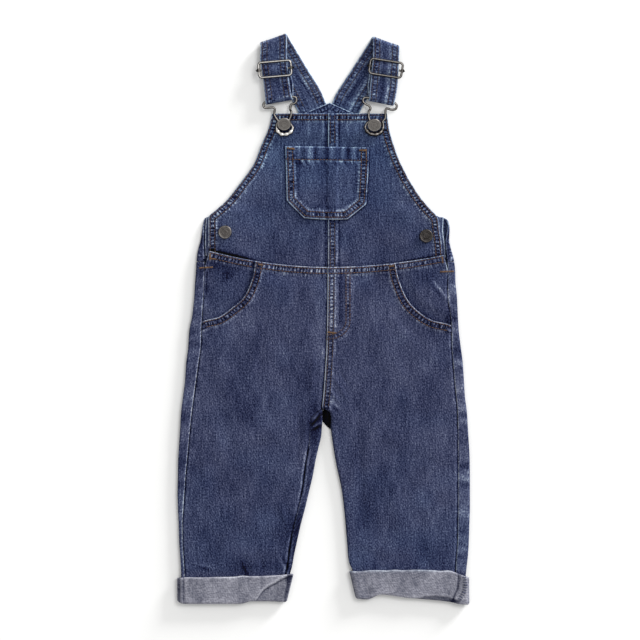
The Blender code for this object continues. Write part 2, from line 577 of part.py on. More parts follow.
def front_right_rise(near, far, x, y, v):
    mouth = 0.4 if v < 6.4 and far < HEM_BAND + 0.4 else 0.0
    fly = HEM_RISE if y > 1.0 and near < FLY_EDGE + 0.2 else 0.0
    if -17.0 < y <= 1.0 and near < FLY_EDGE * (1 - ((1.0 - y) / 18.0) ** 2):
        fly = HEM_RISE
    seam = HEM_RISE if v < 10.5 and near < 6.7 else 0.0
    return max(mouth, fly, seam, waist_rise(x, y))


def build_fronts(finish, garment):
    shape = panel(FRONT_LEFT, top=waist)
    rows = (0, 0.68, 0.76) + tuple(range(2, len(FRONT_LEFT)))
    flat_wall("front_left", shape, rows, (0.0, HEM_BAND, HEM_BAND + 0.8), 6, (0.0,),
              front_low, front_left_rise, finish, garment)

    at, left_share, right_share, end = panel(FRONT_RIGHT, top=waist)
    outer, inner = [], []
    for v in (0, 0.68, 0.76) + tuple(range(2, len(FRONT_RIGHT))):
        a, b = left_share(v), right_share(v)
        y_edge = at(v, 0.0)[1]
        turn = 90.0 * ease(-88.4, -96.5, y_edge)
        drop = leg_top(30, y_edge) - soft(30, y_edge) - HALF - lift(y_edge, 1) - LAYER + HALF - 0.6
        radius = min(LEG_FOLD, drop)
        reach = math.pi / 2 * radius + max(0.0, drop - radius) if turn > 0 else 3.0
        side = turned_side(at(v, 0.0)[0], -1, radius, turn, reach, 3, 1)
        foot = side[0][0]
        first = [d * a for d in (6.2, 6.9, FLY_EDGE - 0.2, FLY_EDGE + 0.5)]
        last = [1 - d * b for d in (HEM_BAND + 0.8, HEM_BAND, 0.0)]
        us = first + [first[-1] + (last[0] - first[-1]) * k / 4 for k in range(1, 4)] + last
        top_row, low_row = [], []
        for x, dz, across, up in reversed(side):
            share = (x - at(v, 0.0)[0]) / (at(v, 1.0)[0] - at(v, 0.0)[0])
            y = at(v, max(0.0, share))[1]
            mid = front_low(max(x, foot), y) + HALF
            proud = front_right_rise(max(0.0, x - at(v, 0.0)[0]), 99, x, y, v)
            proud = HALF + proud * (1 - ease(0, 40, turn))
            top_row.append((x + across * proud, y, mid - dz - up * proud))
            low_row.append((x - across * HALF, y, mid - dz + up * HALF))
        for u in us:
            x, y = at(v, u)
            x = max(x, foot + 0.3)
            z = front_low(x, y)
            low_row.append((x, y, z))
            top_row.append((x, y, z + WALL + front_right_rise(u / a, (1 - u) / b, x, y, v)))
        outer.append(top_row)
        inner.append(low_row)
    wall("front_right", outer, inner, finish, garment)


def bib_rise(near, far, x, y, v):
    return HEM_RISE if near < HEM_BAND + 0.4 and v < 13.2 or y > 197.4 else 0.0


def bib_right_rise(near, far, x, y, v):
    hem = HEM_RISE if far < HEM_BAND + 0.4 and v < 13.2 or y > 197.4 else 0.0
    seam = HEM_RISE if near < 8.9 else 0.0
    return max(hem, seam)


def build_bib(finish, garment):
    rows = (0, 0.97, 1.06, 2, 3, 4, 5.5, 7, 8, 9, 10, 11, 12, 13, 14)

    def hem_line(x):
        return waist(x) - WAIST_LAP

    flat_wall("bib_left", panel(BIB_LEFT, bottom=hem_line), rows, (0.0, HEM_BAND, HEM_BAND + 0.8), 6, (0.0,),
              bib_low, bib_rise, finish, garment)
    flat_wall("bib_right", panel(BIB_RIGHT, bottom=hem_line), rows, (0.0, 8.6, 9.2), 6,
              (HEM_BAND + 0.8, HEM_BAND, 0.0), bib_low, bib_right_rise, finish, garment)


def build_pocket(finish, garment):
    lx, ly, rx, ry = columns(POCKET)
    rows = (0, 0.9, 1.0, 2, 3, 4, 5, 6, 7)
    outer, inner = [], []
    for v in rows:
        left, right = lx(v), rx(v)
        span = (left, left + 5.5, left + 6.3) if v < 6.5 else (left, left + 4.0, left + 5.0)
        stops = list(span) + [(span[2] + 4.0) / 2, 4.0, 4.8, 13.8, 14.6, (14.6 + right - 6.3) / 2]
        stops += [right - 6.3, right - 5.5, right]
        top_row, low_row = [], []
        for x in stops:
            share = (x - left) / (right - left)
            y = ly(v) + (ry(v) - ly(v)) * share
            if v > 6.9:
                y -= 2.6 * (1 - (2 * share - 1) ** 2)
            seam = HEM_RISE if 4.4 < x < 14.2 else 0.0
            z = bib_low(x, y) + LAYER + seam
            edge = x - left < 5.9 or right - x < 5.9 or v < 0.95 or v > 5.9
            low_row.append((x, y, z))
            top_row.append((x, y, z + WALL + (HEM_RISE if edge else 0.0)))
        outer.append(top_row)
        inner.append(low_row)
    wall("bib_pocket", outer, inner, finish, garment)


def facing_line(mouth, way, seam):
    """Where a facing ends under the front: the pocket mouth moved in, from the waist to the side seam."""
    line = []
    for k, (x, y) in enumerate(mouth):
        ax, ay = mouth[max(0, k - 1)]
        bx, by = mouth[min(len(mouth) - 1, k + 1)]
        length = math.hypot(bx - ax, by - ay)
        line.append((x - way * abs(by - ay) / length * FACING_LAP, y - abs(bx - ax) / length * FACING_LAP))
    line[0] = (line[0][0], waist(line[0][0]))
    line[-1] = (seam(line[-1][1]) - way * GAP / 2, line[-1][1])
    return line


def build_facing(name, way, mouth, corner, side_top, seam, finish, garment):
    """A facing between the waist, the side seam and a line set in from the pocket mouth."""
    inner_line = facing_line(mouth, way, seam)
    count = len(inner_line) - 1
    cx, cy = columns(inner_line)
    outer, inner = [], []
    parts = 6
    for k in range(parts + 1):
        u = k / parts
        x_mouth, y_mouth = cx(u * count), cy(u * count)
        x_short = corner[0] + (side_top[0] - corner[0]) * u
        y_short = corner[1] + (side_top[1] - corner[1]) * u
        top_row, low_row = [], []
        for j in range(parts + 1):
            t = j / parts
            waist_x = corner[0] + (inner_line[0][0] - corner[0]) * t
            waist_y = waist(waist_x)
            side_y = side_top[1] + (inner_line[-1][1] - side_top[1]) * t
            side_x = seam(side_y) - way * GAP / 2
            x = ((1 - t) * x_short + t * x_mouth + (1 - u) * waist_x + u * side_x
                 - (1 - t) * (1 - u) * corner[0] - t * (1 - u) * inner_line[0][0]
                 - (1 - t) * u * side_x - t * u * inner_line[-1][0]
                 + (1 - t) * u * (side_x - side_top[0]))
            y = ((1 - t) * y_short + t * y_mouth + (1 - u) * waist_y + u * side_y
                 - (1 - t) * (1 - u) * corner[1] - t * (1 - u) * inner_line[0][1]
                 - (1 - t) * u * side_top[1] - t * u * inner_line[-1][1])
            z = facing_low(x, y, mouth, t > 0.99)
            low_row.append((x, y, z))
            top_row.append((x, y, z + WALL))
        outer.append(top_row)
        inner.append(low_row)
    wall(name, outer, inner, finish, garment)


def build_placket(name, edge_table, finish, garment):
    """A button extension, flat under the bib's side: y, x of its outer edge, x of its inner edge."""
    outer, inner = [], []
    for y, a, b in edge_table:
        xs = [a + (b - a) * k / 3 for k in range(4)]
        inner.append([(x, y, LAYER) for x in xs])
        outer.append([(x, y, LAYER + WALL) for x in xs])
    wall(name, outer, inner, finish, garment)


def build_cuff(name, edges, sides, dip, finish, garment):
    """A flattened ring round the leg's end, folded at its lower edge."""
    shares = [row[0] for row in edges]
    upper = through(shares, [row[1] for row in edges])
    lower = through(shares, [row[2] for row in edges])
    left_top, right_top, left_low, right_low = sides
    mid_low, mid_high = CUFF_WALL / 2, CUFF_HIGH - CUFF_WALL / 2
    radius = (mid_high - mid_low) / 2
    full = radius + CUFF_WALL / 2
    outer, inner = [], []
    stations = ((0.0, 1.0), (0.05, 1.2), (0.35, 1.2), (0.65, 1.2), (0.94, 1.2), (0.985, 0.85), (1.0, 0.35))
    for t, half in stations:
        left = left_top + (left_low - left_top) * t
        right = right_top + (right_low - right_top) * t
        ring = []
        for k in range(9):
            ring.append((left + full + (right - left - 2 * full) * k / 8, mid_high, 0.0, 1.0))
        for k in range(1, 5):
            a = math.pi * k / 5
            ring.append((right - full + radius * math.sin(a), mid_low + radius * (1 + math.cos(a)),
                         math.sin(a), math.cos(a)))
        for k in range(7):
            ring.append((right - full - (right - left - 2 * full) * k / 6, mid_low, 0.0, -1.0))
        for k in range(1, 5):
            a = math.pi * k / 5
            ring.append((left + full - radius * math.sin(a), mid_low + radius * (1 - math.cos(a)),
                         -math.sin(a), -math.cos(a)))
        out_row, in_row = [], []
        for x, z, across, up in ring:
            share = (x - left) / (right - left)
            y = upper(share) + (lower(share) - upper(share)) * t
            if up > 0.5:
                z -= dip(x, y)
            out_row.append((x + across * half, y, z + up * half))
            in_row.append((x - across * half, y, z - up * half))
        outer.append(out_row)
        inner.append(in_row)
    wall(name, outer, inner, finish, garment, ring=True)


def left_dip(x, y):
    """The left cuff's loose fold hangs lower at its inner bottom corner."""
    past = ((x + 37.2) * 16.0 - (y + 261.0) * 28.0) / 32.2
    return 1.0 * ease(0.0, 4.0, past) * ease(-264.5, -270.0, y)


def right_dip(x, y):
    return 0.8 * math.exp(-((x - 46.0) / 9.0) ** 2) * ease(-264.0, -276.0, y)


def build_strap(name, back, front, rear, finish, garment):
    """One strap: flat behind, over at the shoulder, down the front, round the hook's bar and up behind."""
    def arc(first, last, radius, parts, up):
        """Rows that turn about the line between two rows, out to the side that up gives."""
        rows = []
        for k in range(1, parts):
            a = math.pi * k / parts
            mix = 0.5 - 0.5 * math.cos(a)
            ax, ay, bx, by = (p + (q - p) * mix for p, q in zip(first[:4], last[:4]))
            length = math.hypot(bx - ax, by - ay)
            nx, ny = -(by - ay) / length * up, (bx - ax) / length * up
            out = radius * math.sin(a)
            z = first[4] + (last[4] - first[4]) * mix
            rows.append((ax + nx * out, ay + ny * out, bx + nx * out, by + ny * out, z))
        return rows

    rows = list(back) + arc(back[-1], front[0], STRAP_FOLD, 7, 1) + list(front)
    rows += arc(front[-1], rear[0], HOOK_FOLD, 7, -1) + list(rear)
    shares = (0.0, 0.1, 0.5, 0.9, 1.0)
    grid = [[Vector((ax + (bx - ax) * s, ay + (by - ay) * s, z)) for s in shares]
            for ax, ay, bx, by, z in rows]
    outer, inner = [], []
    for i, row in enumerate(grid):
        before, after = grid[max(0, i - 1)], grid[min(len(grid) - 1, i + 1)]
        out_row, in_row = [], []
        for j, point in enumerate(row):
            along = after[j] - before[j]
            across = row[-1] - row[0]
            normal = along.cross(across).normalized()
            if i in (0, len(grid) - 1):
                normal = Vector((0, 0, 1 if normal.z > 0 else -1))
            out_row.append(tuple(point + normal * STRAP_THICK / 2))
            in_row.append(tuple(point - normal * STRAP_THICK / 2))
        outer.append(out_row)
        inner.append(in_row)
    wall(name, outer, inner, finish, garment)


def wire(name, points, radius, finish, garment, closed):
    data = bpy.data.curves.new(name, "CURVE")
    data.dimensions = "3D"
    data.bevel_depth = radius * MM
    data.bevel_resolution = 2
    data.use_fill_caps = True
    spline = data.splines.new("POLY")
    spline.points.add(len(points) - 1)
    for point, (x, y, z) in zip(spline.points, points):
        point.co = (x * MM, y * MM, z * MM, 1.0)
    spline.use_cyclic_u = closed
    spline.use_smooth = True
    return place(name, data, finish, garment)


def turned(points, centre, turn):
    """Points in a slider's own plane, turned and moved to its place."""
    a = math.radians(turn)
    across, along = math.cos(a), math.sin(a)
    return [(centre[0] + x * across - y * along, centre[1] + x * along + y * across, z) for x, y, z in points]


def build_slider(side, spot, finish, garment):
    long, wide = SLIDER_LONG / 2 - SLIDER_WIRE, SLIDER_WIDE / 2 - SLIDER_WIRE
    frame = []
    for sx, sy, start in ((1, 1, 0), (-1, 1, 90), (-1, -1, 180), (1, -1, 270)):
        for k in range(4):
            a = math.radians(start + 30 * k)
            frame.append((sx * (long - SLIDER_CORNER) + SLIDER_CORNER * math.cos(a),
                          sy * (wide - SLIDER_CORNER) + SLIDER_CORNER * math.sin(a), SLIDER_HIGH))
    wire(f"slider_{side}", turned(frame, spot, spot[2]), SLIDER_WIRE, finish, garment, True)
    end = long + 2.0
    half = [(end - 3.4, 0, SLIDER_BAR_HIGH), (end - 1.1, 0, SLIDER_BAR_HIGH + 0.3),
            (end, 0, SLIDER_HIGH - 1.4), (end, 0, SLIDER_HIGH + 0.3)]
    bar = [(-x, y, z) for x, y, z in reversed(half)] + half
    wire(f"slider_bar_{side}", turned(bar, spot, spot[2]), WIRE, finish, garment, False)


def hook_points(table):
    """The hook's wire: rows with no height lie just over the bib's hem."""
    points = []
    for x, y, z in table:
        if z == 0:
            z = bib_low(x, min(y, 205.0)) + WALL + HEM_RISE + GAP + WIRE
        points.append((x, y, z))
    return points


def build_button(name, spot, width, tilt, high, finish, garment):
    """A tack button: a flat head with a rolled rim and a dished middle on a short post."""
    r = width / 2
    post = 2.4
    profile = ((0.0, 1.5), (0.32 * r, 1.45), (0.62 * r, 1.25), (0.72 * r, 1.6), (0.86 * r, 1.95),
               (r - 0.35, 1.75), (r, 1.15), (r - 0.4, 0.45), (r - 1.2, 0.2), (post + 0.2, 0.0),
               (post, -high + 0.3), (post - 0.3, -high), (0.0, -high))
    data = bpy.data.meshes.new(name)
    edges = [(k, k + 1) for k in range(len(profile) - 1)]
    data.from_pydata([(x * MM, 0.0, z * MM) for x, z in profile], edges, [])
    made = place(name, data, finish, garment)
    screw = made.modifiers.new("Turned head", "SCREW")
    screw.steps = screw.render_steps = 16
    screw.use_merge_vertices = True
    screw.merge_threshold = 0.0001
    screw.use_smooth_shade = True
    made.location = Vector(spot) * MM
    made.rotation_euler = (math.radians(tilt), 0.0, 0.0)
    return made


def build():
    for old in list(bpy.data.objects):
        bpy.data.objects.remove(old, do_unlink=True)
    collection = bpy.data.collections.new("kids_dungarees")
    bpy.context.scene.collection.children.link(collection)
    garment = bpy.data.objects.new("garment", None)
    collection.objects.link(garment)
    garment.location = (-CENTRE[0] * MM, -CENTRE[1] * MM, 0.0)

    def cloth(name, colour=DENIM):
        return (name, colour, 0.9, 0.0)

    build_left_back(cloth("denim", DENIM_DEEP), garment)
    build_right_back(cloth("denim", DENIM_DEEP), garment)
    build_back_bib(cloth("denim", DENIM_DEEP), garment)
    build_fronts(cloth("denim"), garment)
    build_bib(cloth("denim"), garment)
    build_pocket(cloth("denim"), garment)
    facing = cloth("denim", DENIM_DEEP)
    build_facing("facing_left", -1, LEFT_MOUTH, (-113.6, 68.0), (-118.4, 51.0), left_seam, facing, garment)
    build_facing("facing_right", 1, RIGHT_MOUTH, (120.3, 63.7), (124.8, 48.0), right_seam, facing, garment)
    placket = cloth("denim", DENIM_DEEP)
    build_placket("placket_left", ((101.8, -117.0, -93.0), (90, -118.0, -93.0), (75, -118.2, -93.0),
                                   (63, -117.6, -93.0)), placket, garment)
    build_placket("placket_right", ((101.8, 120.4, 92.0), (90, 119.9, 92.0), (75, 121.4, 92.0),
                                    (61, 122.4, 92.0)), placket, garment)
    cuff = cloth("denim_wrong_side", DENIM_BACK)
    build_cuff("cuff_left", LEFT_CUFF, LEFT_CUFF_SIDES, left_dip, cuff, garment)
    build_cuff("cuff_right", RIGHT_CUFF, RIGHT_CUFF_SIDES, right_dip, cuff, garment)
    strap = cloth("denim")
    build_strap("strap_left", LEFT_STRAP_BACK, LEFT_STRAP_FRONT, LEFT_STRAP_REAR, strap, garment)
    build_strap("strap_right", RIGHT_STRAP_BACK, RIGHT_STRAP_FRONT, RIGHT_STRAP_REAR, strap, garment)

    metal = ("antique_nickel", ANTIQUE_METAL, 0.38, 1.0)
    for side, spot, hook in (("left", LEFT_SLIDER, LEFT_HOOK), ("right", RIGHT_SLIDER, RIGHT_HOOK)):
        build_slider(side, spot, metal, garment)
        wire(f"hook_{side}", hook_points(hook), WIRE, metal, garment, True)
    for side, (x, y) in (("left", LEFT_BIB_BUTTON), ("right", RIGHT_BIB_BUTTON)):
        z = bib_low(x, y) + WALL + GAP + 3.6
        build_button(f"bib_button_{side}", (x, y, z), BIB_BUTTON, BUTTON_TILT, 2.2, metal, garment)
    for side, (x, y) in (("left", LEFT_SIDE_BUTTON), ("right", RIGHT_SIDE_BUTTON)):
        z = bib_low(x, y) + WALL + GAP + 0.9
        build_button(f"side_button_{side}", (x, y, z), SIDE_BUTTON, 0.0, 0.9, metal, garment)


build()
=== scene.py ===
"""Dresses the kids dungarees: washed denim with worn hems, topstitching, antique nickel buckles, and the
pale table that they lie on.

Tables and shapes are in millimetres, laid out as the garment lies with X to the viewer's right, Y to the neck
and Z up. Left and right are the viewer's.
"""

import math

import bpy
import numpy as np
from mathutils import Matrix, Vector
from mathutils.bvhtree import BVHTree


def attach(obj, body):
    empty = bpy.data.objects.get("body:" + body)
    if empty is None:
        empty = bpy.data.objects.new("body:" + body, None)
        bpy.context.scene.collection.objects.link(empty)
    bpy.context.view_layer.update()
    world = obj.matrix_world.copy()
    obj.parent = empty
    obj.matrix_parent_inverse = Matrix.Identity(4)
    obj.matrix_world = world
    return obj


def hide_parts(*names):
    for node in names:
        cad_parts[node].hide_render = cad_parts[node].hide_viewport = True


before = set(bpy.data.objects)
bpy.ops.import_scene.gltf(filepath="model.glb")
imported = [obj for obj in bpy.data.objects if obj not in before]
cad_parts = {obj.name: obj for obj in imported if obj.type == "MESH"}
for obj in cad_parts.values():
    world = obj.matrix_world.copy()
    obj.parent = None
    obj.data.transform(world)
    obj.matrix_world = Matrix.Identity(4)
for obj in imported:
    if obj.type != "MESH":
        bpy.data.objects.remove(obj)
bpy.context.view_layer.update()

MM = 0.001

# Cloth
WALL = 1.2             # one layer of denim
GAP = 0.3              # clear space between two pieces
LAYER = WALL + GAP
HALF = WALL / 2
HEM_RISE = 0.5         # a hem or felled seam stands this much over the plain cloth
HEM_BAND = 7.5         # width of a twin stitched hem
LEG_TOP = 4.8          # middle of a leg's upper layer, above the table
LEG_FOLD = 2.1         # radius of the cloth where a leg turns over at its side
WAIST_LAP = 6.0        # how far the bib reaches down under the trousers' top edge
FACING_LAP = 7.0       # how far a pocket facing reaches under the front

# Turned-up cuffs
CUFF_WALL = 2.4
CUFF_HIGH = 8.3
CUFF_FLOOR = CUFF_WALL + GAP

# Rows of stitches, in from the edge that they follow
TWIN = (1.6, 6.4)
WAIST_ROWS = (1.5, 6.3)
CENTRE_ROWS = (1.9, 6.3)
PEAK_ROWS = (1.6, 6.2)
POCKET_ROWS = (2.3, 7.1)
STRAP_ROWS = (2.3, 6.9)
FELL_ROWS = (2, 6.5)
FELL_BAND = 8.6        # width of the bib's felled centre seam
POCKET_HEM = 13.0      # and of the pocket's top hem
POCKET_WIDE = 83.0
FACING_WIDE = 70.0
STAND_WIDE = 25.0      # width of a button extension
BACK_TOP = 57.0        # y where the trouser backs start
LEG_END = -262.0       # and where the legs end inside the cuffs
STITCH = 3.0           # length of one topstitch with its gap
THREAD = 0.36          # radius of topstitching thread, a little over its real size so that it shows
OVER_ALL = 50.0        # a height above every piece
# The mock fly's two rows: how far they stand off the centre seam and reach below the height where they turn
SEAM_X = 4.4
FLY_TURN = -2.0
FLY_OUTER = (22.4, 18.3)
FLY_INNER = (18.4, 13.8)
# The back's peak, its rise over the bodice and half of its width
PEAK = (6.4, 216.6)
PEAK_RISE = 11.7
PEAK_HALF = 27.0

# Straps and metal
STRAP_WIDE = 27.0
STRAP_THICK = 2.0
STRAP_FOLD = 3.0       # radius of the strap's middle where it turns over at the shoulder
HOOK_FOLD = 2.3        # and where it turns round the hook's bar
WIRE = 0.8             # radius of the hook's wire
SLIDER_LONG = 34.0
SLIDER_WIDE = 16.5
SLIDER_WIRE = 0.75
SLIDER_CORNER = 3.0
SLIDER_HIGH = 9.0
SLIDER_BAR_HIGH = 6.4
BIB_BUTTON = 13.7
SIDE_BUTTON = 13.4
BUTTON_TILT = 28.0

CENTRE = (0.34, 0.07)  # middle of the garment's outline in the tables' x and y

# Each leg's outer side: y, x of the fold at the side, x of the side seam on top
LEFT_SIDE = (
    (57, -126.9, -119), (51, -127.2, -118.7), (37, -128.2, -119.4), (21, -129.2, -120), (3, -131.2, -121.2),
    (-13, -134.2, -121.9), (-29, -135.2, -122.7), (-45, -137.2, -124.9), (-61, -138.2, -127.2),
    (-77, -140.2, -129.3), (-93, -142.2, -131.4), (-109, -143.2, -133.1), (-125, -144.2, -134.7),
    (-141, -145.2, -136.2), (-157, -145.4, -137.7), (-173, -145.8, -138.8), (-189, -145.4, -139.8),
    (-205, -144.6, -140.8), (-221, -144.2, -140.6), (-237, -143.2, -139.7), (-252, -142.2, -138.8),
    (-262, -141.8, -138.4),
)
RIGHT_SIDE = (
    (57, 131.3, 124.2), (48, 132.1, 125), (37, 132.4, 124.7), (23, 133.8, 124.4), (11, 134.4, 126.3),
    (-3, 135.1, 128.2), (-13, 135.8, 128.5), (-29, 137.8, 128.8), (-45, 139.8, 130.1), (-61, 140.8, 131.3),
    (-77, 141.8, 133), (-93, 143.8, 134.4), (-109, 144.8, 134.8), (-125, 145.8, 134.9), (-141, 146.6, 135),
    (-173, 146.8, 135), (-189, 146.8, 135), (-205, 146.3, 134.8), (-221, 145.8, 134.6), (-237, 144.8, 133.4),
    (-247, 143.6, 132.8), (-256, 142.7, 132.5), (-262, 142.2, 132),
)
# The left leg's inner side: y, x of the fold, x of the inseam on top
LEFT_INNER = (
    (-94, -0.9, -7.2), (-99, -0.7, -11.7), (-108, -1.2, -13.2), (-116, -1.8, -13.8), (-130, -5, -14.5),
    (-141, -7.5, -16.6), (-157, -10.4, -18.6), (-173, -14.2, -20.9), (-189, -18, -24.7), (-205, -22.2, -28.6),
    (-221, -25.8, -31.9), (-237, -29.2, -34), (-247, -31, -35.4), (-256, -33.4, -37.4), (-262, -34.8, -38.8),
)
# The right leg's inner side: y, x of the fold where the front turns down
RIGHT_INNER = (
    (-89, -0.7), (-92, 4.5), (-96, 7.6), (-102, 7.8), (-109, 7.4), (-123, 9.4), (-141, 12.2), (-157, 15.5),
    (-173, 18.8), (-189, 20.8), (-205, 22.2), (-221, 23.8), (-237, 24.8), (-245, 26.4), (-251, 29.3),
    (-255, 30.5), (-262, 32.5),
)
# Trouser backs at the crotch: y and x of the right one's edge and of the left one's fold, and then y, how far
# that fold turns in degrees, and the length of cloth past its foot
RIGHT_BACK_CROTCH = (
    (-60, 2.1), (-84, 1.9), (-88, 1.25), (-91, 0.3), (-94, -0.6), (-99, -0.7), (-102, -0.5), (-105, 1.5),
    (-109, 5.4), (-113, 8.2),
)
LEFT_BACK_CROTCH = ((-60, 1.8), (-84, 1.6), (-88, 0.9), (-91, -0.5), (-94, -0.9))
LEFT_BACK_TURN = ((-84, 0, 3), (-88, 40, 3.3), (-91, 120, 6), (-94, 180, 9.9))
# Trouser fronts above the crotch, a row for each section: left edge x, y and right edge x, y.
# The left front runs from the pocket mouth and then the side seam to the centre seam.
FRONT_LEFT_TOP = (
    (-67.7, 57.9, 4.1, 51.9), (-69, 48, 4.1, 43), (-73.5, 32.7, 4.1, 33), (-79.8, 21.2, 4, 22),
    (-91.3, 11, 3.9, 11), (-104.2, 2, 3.7, 0), (-121.4, -3.7, 3.5, -11), (-122.3, -25, 2.9, -31),
    (-124.9, -47, 1.6, -52), (-127.9, -68, 0.3, -71), (-130.7, -89, -1.4, -88.4),
)
# The right front runs from the centre seam to the pocket mouth and then the side seam.
FRONT_RIGHT_TOP = (
    (4.4, 51.9, 72.1, 55.9), (4.4, 43, 74, 45), (4.4, 33, 78.5, 31), (4.3, 22, 85, 18), (4.2, 11, 95, 7.5),
    (4, 0, 108.5, -1.2), (3.8, -11, 128.1, -7.4), (3.2, -31, 128.5, -25), (1.9, -52, 130.1, -47),
    (0.6, -71, 131.8, -68), (-1, -88.4, 133.8, -89), (3.2, -91, 134.1, -91),
)
# Heights of both fronts' sections below the crotch
LEG_ROWS = (-94, -99, -103, -108, -121, -135, -150, -170, -190, -209, -228, -236, -244, -250, -255, -262)
# Bib halves in the same four columns, from the armhole hem to the centre seam and from there to the armhole
BIB_LEFT = (
    (-51.2, 205.5, 4.7, 205.5), (-52.7, 197.5, 4.7, 197.5), (-55.2, 189, 4.7, 189), (-62.2, 173, 4.7, 173),
    (-68.2, 157, 4.7, 157.5), (-73.2, 149, 4.7, 149.5), (-79.2, 141, 4.7, 141.5), (-85.2, 133, 4.7, 133.5),
    (-91.2, 125, 4.7, 125.5), (-98.2, 117, 4.7, 117), (-107.2, 109, 4.7, 108), (-114.8, 101, 4.7, 98.5),
    (-114.8, 89, 4.7, 86), (-114.8, 76, 4.7, 71), (-114.4, 62.6, 4.7, 45.9),
)
BIB_RIGHT = (
    (5, 205.5, 63.8, 205.5), (5, 197.5, 64.8, 197.5), (5, 189, 66.2, 189), (5, 173, 70.8, 173),
    (5, 157.5, 76.8, 157), (5, 149.5, 80.8, 149), (5, 141.5, 84.8, 141), (5, 133.5, 89.8, 133),
    (5, 125.5, 94.8, 125), (5, 117, 100.8, 117), (5, 108, 107.8, 109), (5, 98.5, 114.8, 100.5),
    (5, 86, 116.3, 89), (5, 71, 118.3, 76), (5, 45.9, 119.6, 57.2),
)
# Back bodice in the same four columns, then for the left and the right side the fold's radius, how far it
# turns in degrees, and the length of cloth past the fold's foot
BACK_BIB_FLAT = (
    (-20.7, 205, 33.3, 204.5), (-24.5, 200, 37.3, 199.5), (-30, 193, 42.5, 192.5), (-40, 182, 50.5, 182),
    (-52.5, 170, 60.5, 170), (-63, 155, 72, 155), (-74.5, 140, 80, 140), (-86, 125, 89, 125),
    (-98.5, 111.5, 100, 111.5), (-112, 103.2, 116.5, 102.2), (-118.6, 100.8, 123.2, 100.2),
)
BACK_BIB = tuple(row + 2 * (1.2, 0, 2) for row in BACK_BIB_FLAT) + (
    (-120.1, 96.5, 125.9, 96.5, 1.2, 30, 2.4, 1.2, 50, 2.6),
    (-121.2, 90, 126.6, 90, 1.2, 130, 3.4, 1.2, 150, 4.2),
    (-122.6, 80, 126.2, 80, 1.2, 180, 4.8, 1.2, 180, 5.4),
    (-124.6, 72, 127.4, 72, 1.6, 180, 7.7, 1.6, 180, 7.1),
    (-126.2, 65, 129.4, 65, 1.9, 180, 10.1, 1.9, 180, 9.3),
    (-126.9, 57.4, 131.3, 57.4, 2.1, 180, 11.4, 2.1, 180, 11),
)
# Bib pocket in the same four columns, from the top down; the last rows round off the two cut corners
POCKET = (
    (-37.8, 172.8, 45.3, 171.6), (-37.6, 160.2, 45.3, 158.4), (-37.1, 148, 45, 146), (-36.7, 134, 44, 131),
    (-36.4, 118.5, 43.1, 114.9), (-28.4, 110.4, 34.2, 107.8), (-19.4, 101.5, 24.8, 100.2),
    (-19, 101.1, 24.4, 99.9),
)
# Hip pocket facings: the pocket mouth on the front's edge, x, y
LEFT_MOUTH = tuple(row[:2] for row in FRONT_LEFT_TOP[:6]) + ((-121.2, -3.7),)
RIGHT_MOUTH = tuple(row[2:] for row in FRONT_RIGHT_TOP[:7])
# Straps: x, y of the left edge, x, y of the right edge and the height of the strap's middle, from the end
# under the back's peak to the shoulder
LEFT_STRAP_BACK = (
    (-19.9, 197, 5.4, 210.2, 1), (-24.7, 206.5, 3.4, 214.5, 1), (-30.7, 218, -0.7, 224.5, 1),
    (-36.7, 229, -6.2, 235, 1), (-43.2, 241, -13.7, 247, 1), (-50.2, 253, -21.2, 259, 1),
    (-56.2, 264, -28.2, 271, 1), (-61.2, 272.9, -35, 282.1, 1),
)
# from the shoulder over the slider's bar to the hook
LEFT_STRAP_FRONT = (
    (-62.5, 272.5, -36.3, 281.8, 7), (-63, 266, -36.3, 273, 7), (-63.1, 259, -36.2, 263, 6.9),
    (-62.7, 255.7, -36, 258.2, 6.9), (-61.5, 248.4, -35.6, 250.8, 8.5), (-60.3, 240.9, -35, 243.2, 6.9),
    (-59.2, 231, -33.6, 234, 7.2), (-58, 222, -32.2, 225.6, 7.8), (-57.9, 217.3, -31.4, 222.1, 8),
)
# and from the hook back up behind, to the slider's bar
LEFT_STRAP_REAR = (
    (-56.6, 217.6, -30, 222.4, 3.4), (-56, 229, -30, 233.6, 3.8), (-57.2, 238.5, -31.6, 242, 4.2),
    (-59.6, 245.6, -33.6, 248, 4.3),
)
RIGHT_STRAP_BACK = (
    (7.4, 211.6, 32.5, 198.6, 1), (8.6, 215.2, 37, 207.6, 1), (13, 225.6, 42.6, 218, 1),
    (19.4, 235.6, 49.4, 229.4, 1), (27.2, 247.6, 56.2, 240.6, 1), (35, 259.8, 62.6, 251.4, 1),
    (42, 270.6, 69, 262, 1), (47, 279, 73.8, 269.6, 1),
)
RIGHT_STRAP_FRONT = (
    (49.6, 278.6, 76, 269.2, 7), (49.9, 271, 75.9, 263, 7), (49.8, 263, 75.8, 258.4, 6.9),
    (49.7, 260, 75.7, 256.2, 6.9), (48.8, 252.6, 75.3, 248.6, 8.5), (48.1, 245.2, 74.8, 241.3, 6.9),
    (47.2, 235, 74, 230.5, 7.2), (46.2, 225.4, 72.2, 220.2, 7.8), (46.3, 221, 71.3, 216.1, 8),
)
RIGHT_STRAP_REAR = (
    (45, 221.4, 70, 216.5, 3.4), (44.6, 233, 70.4, 228.6, 3.8), (46, 242, 72, 237.8, 4.2),
    (47.2, 249.6, 73.4, 245.6, 4.3),
)
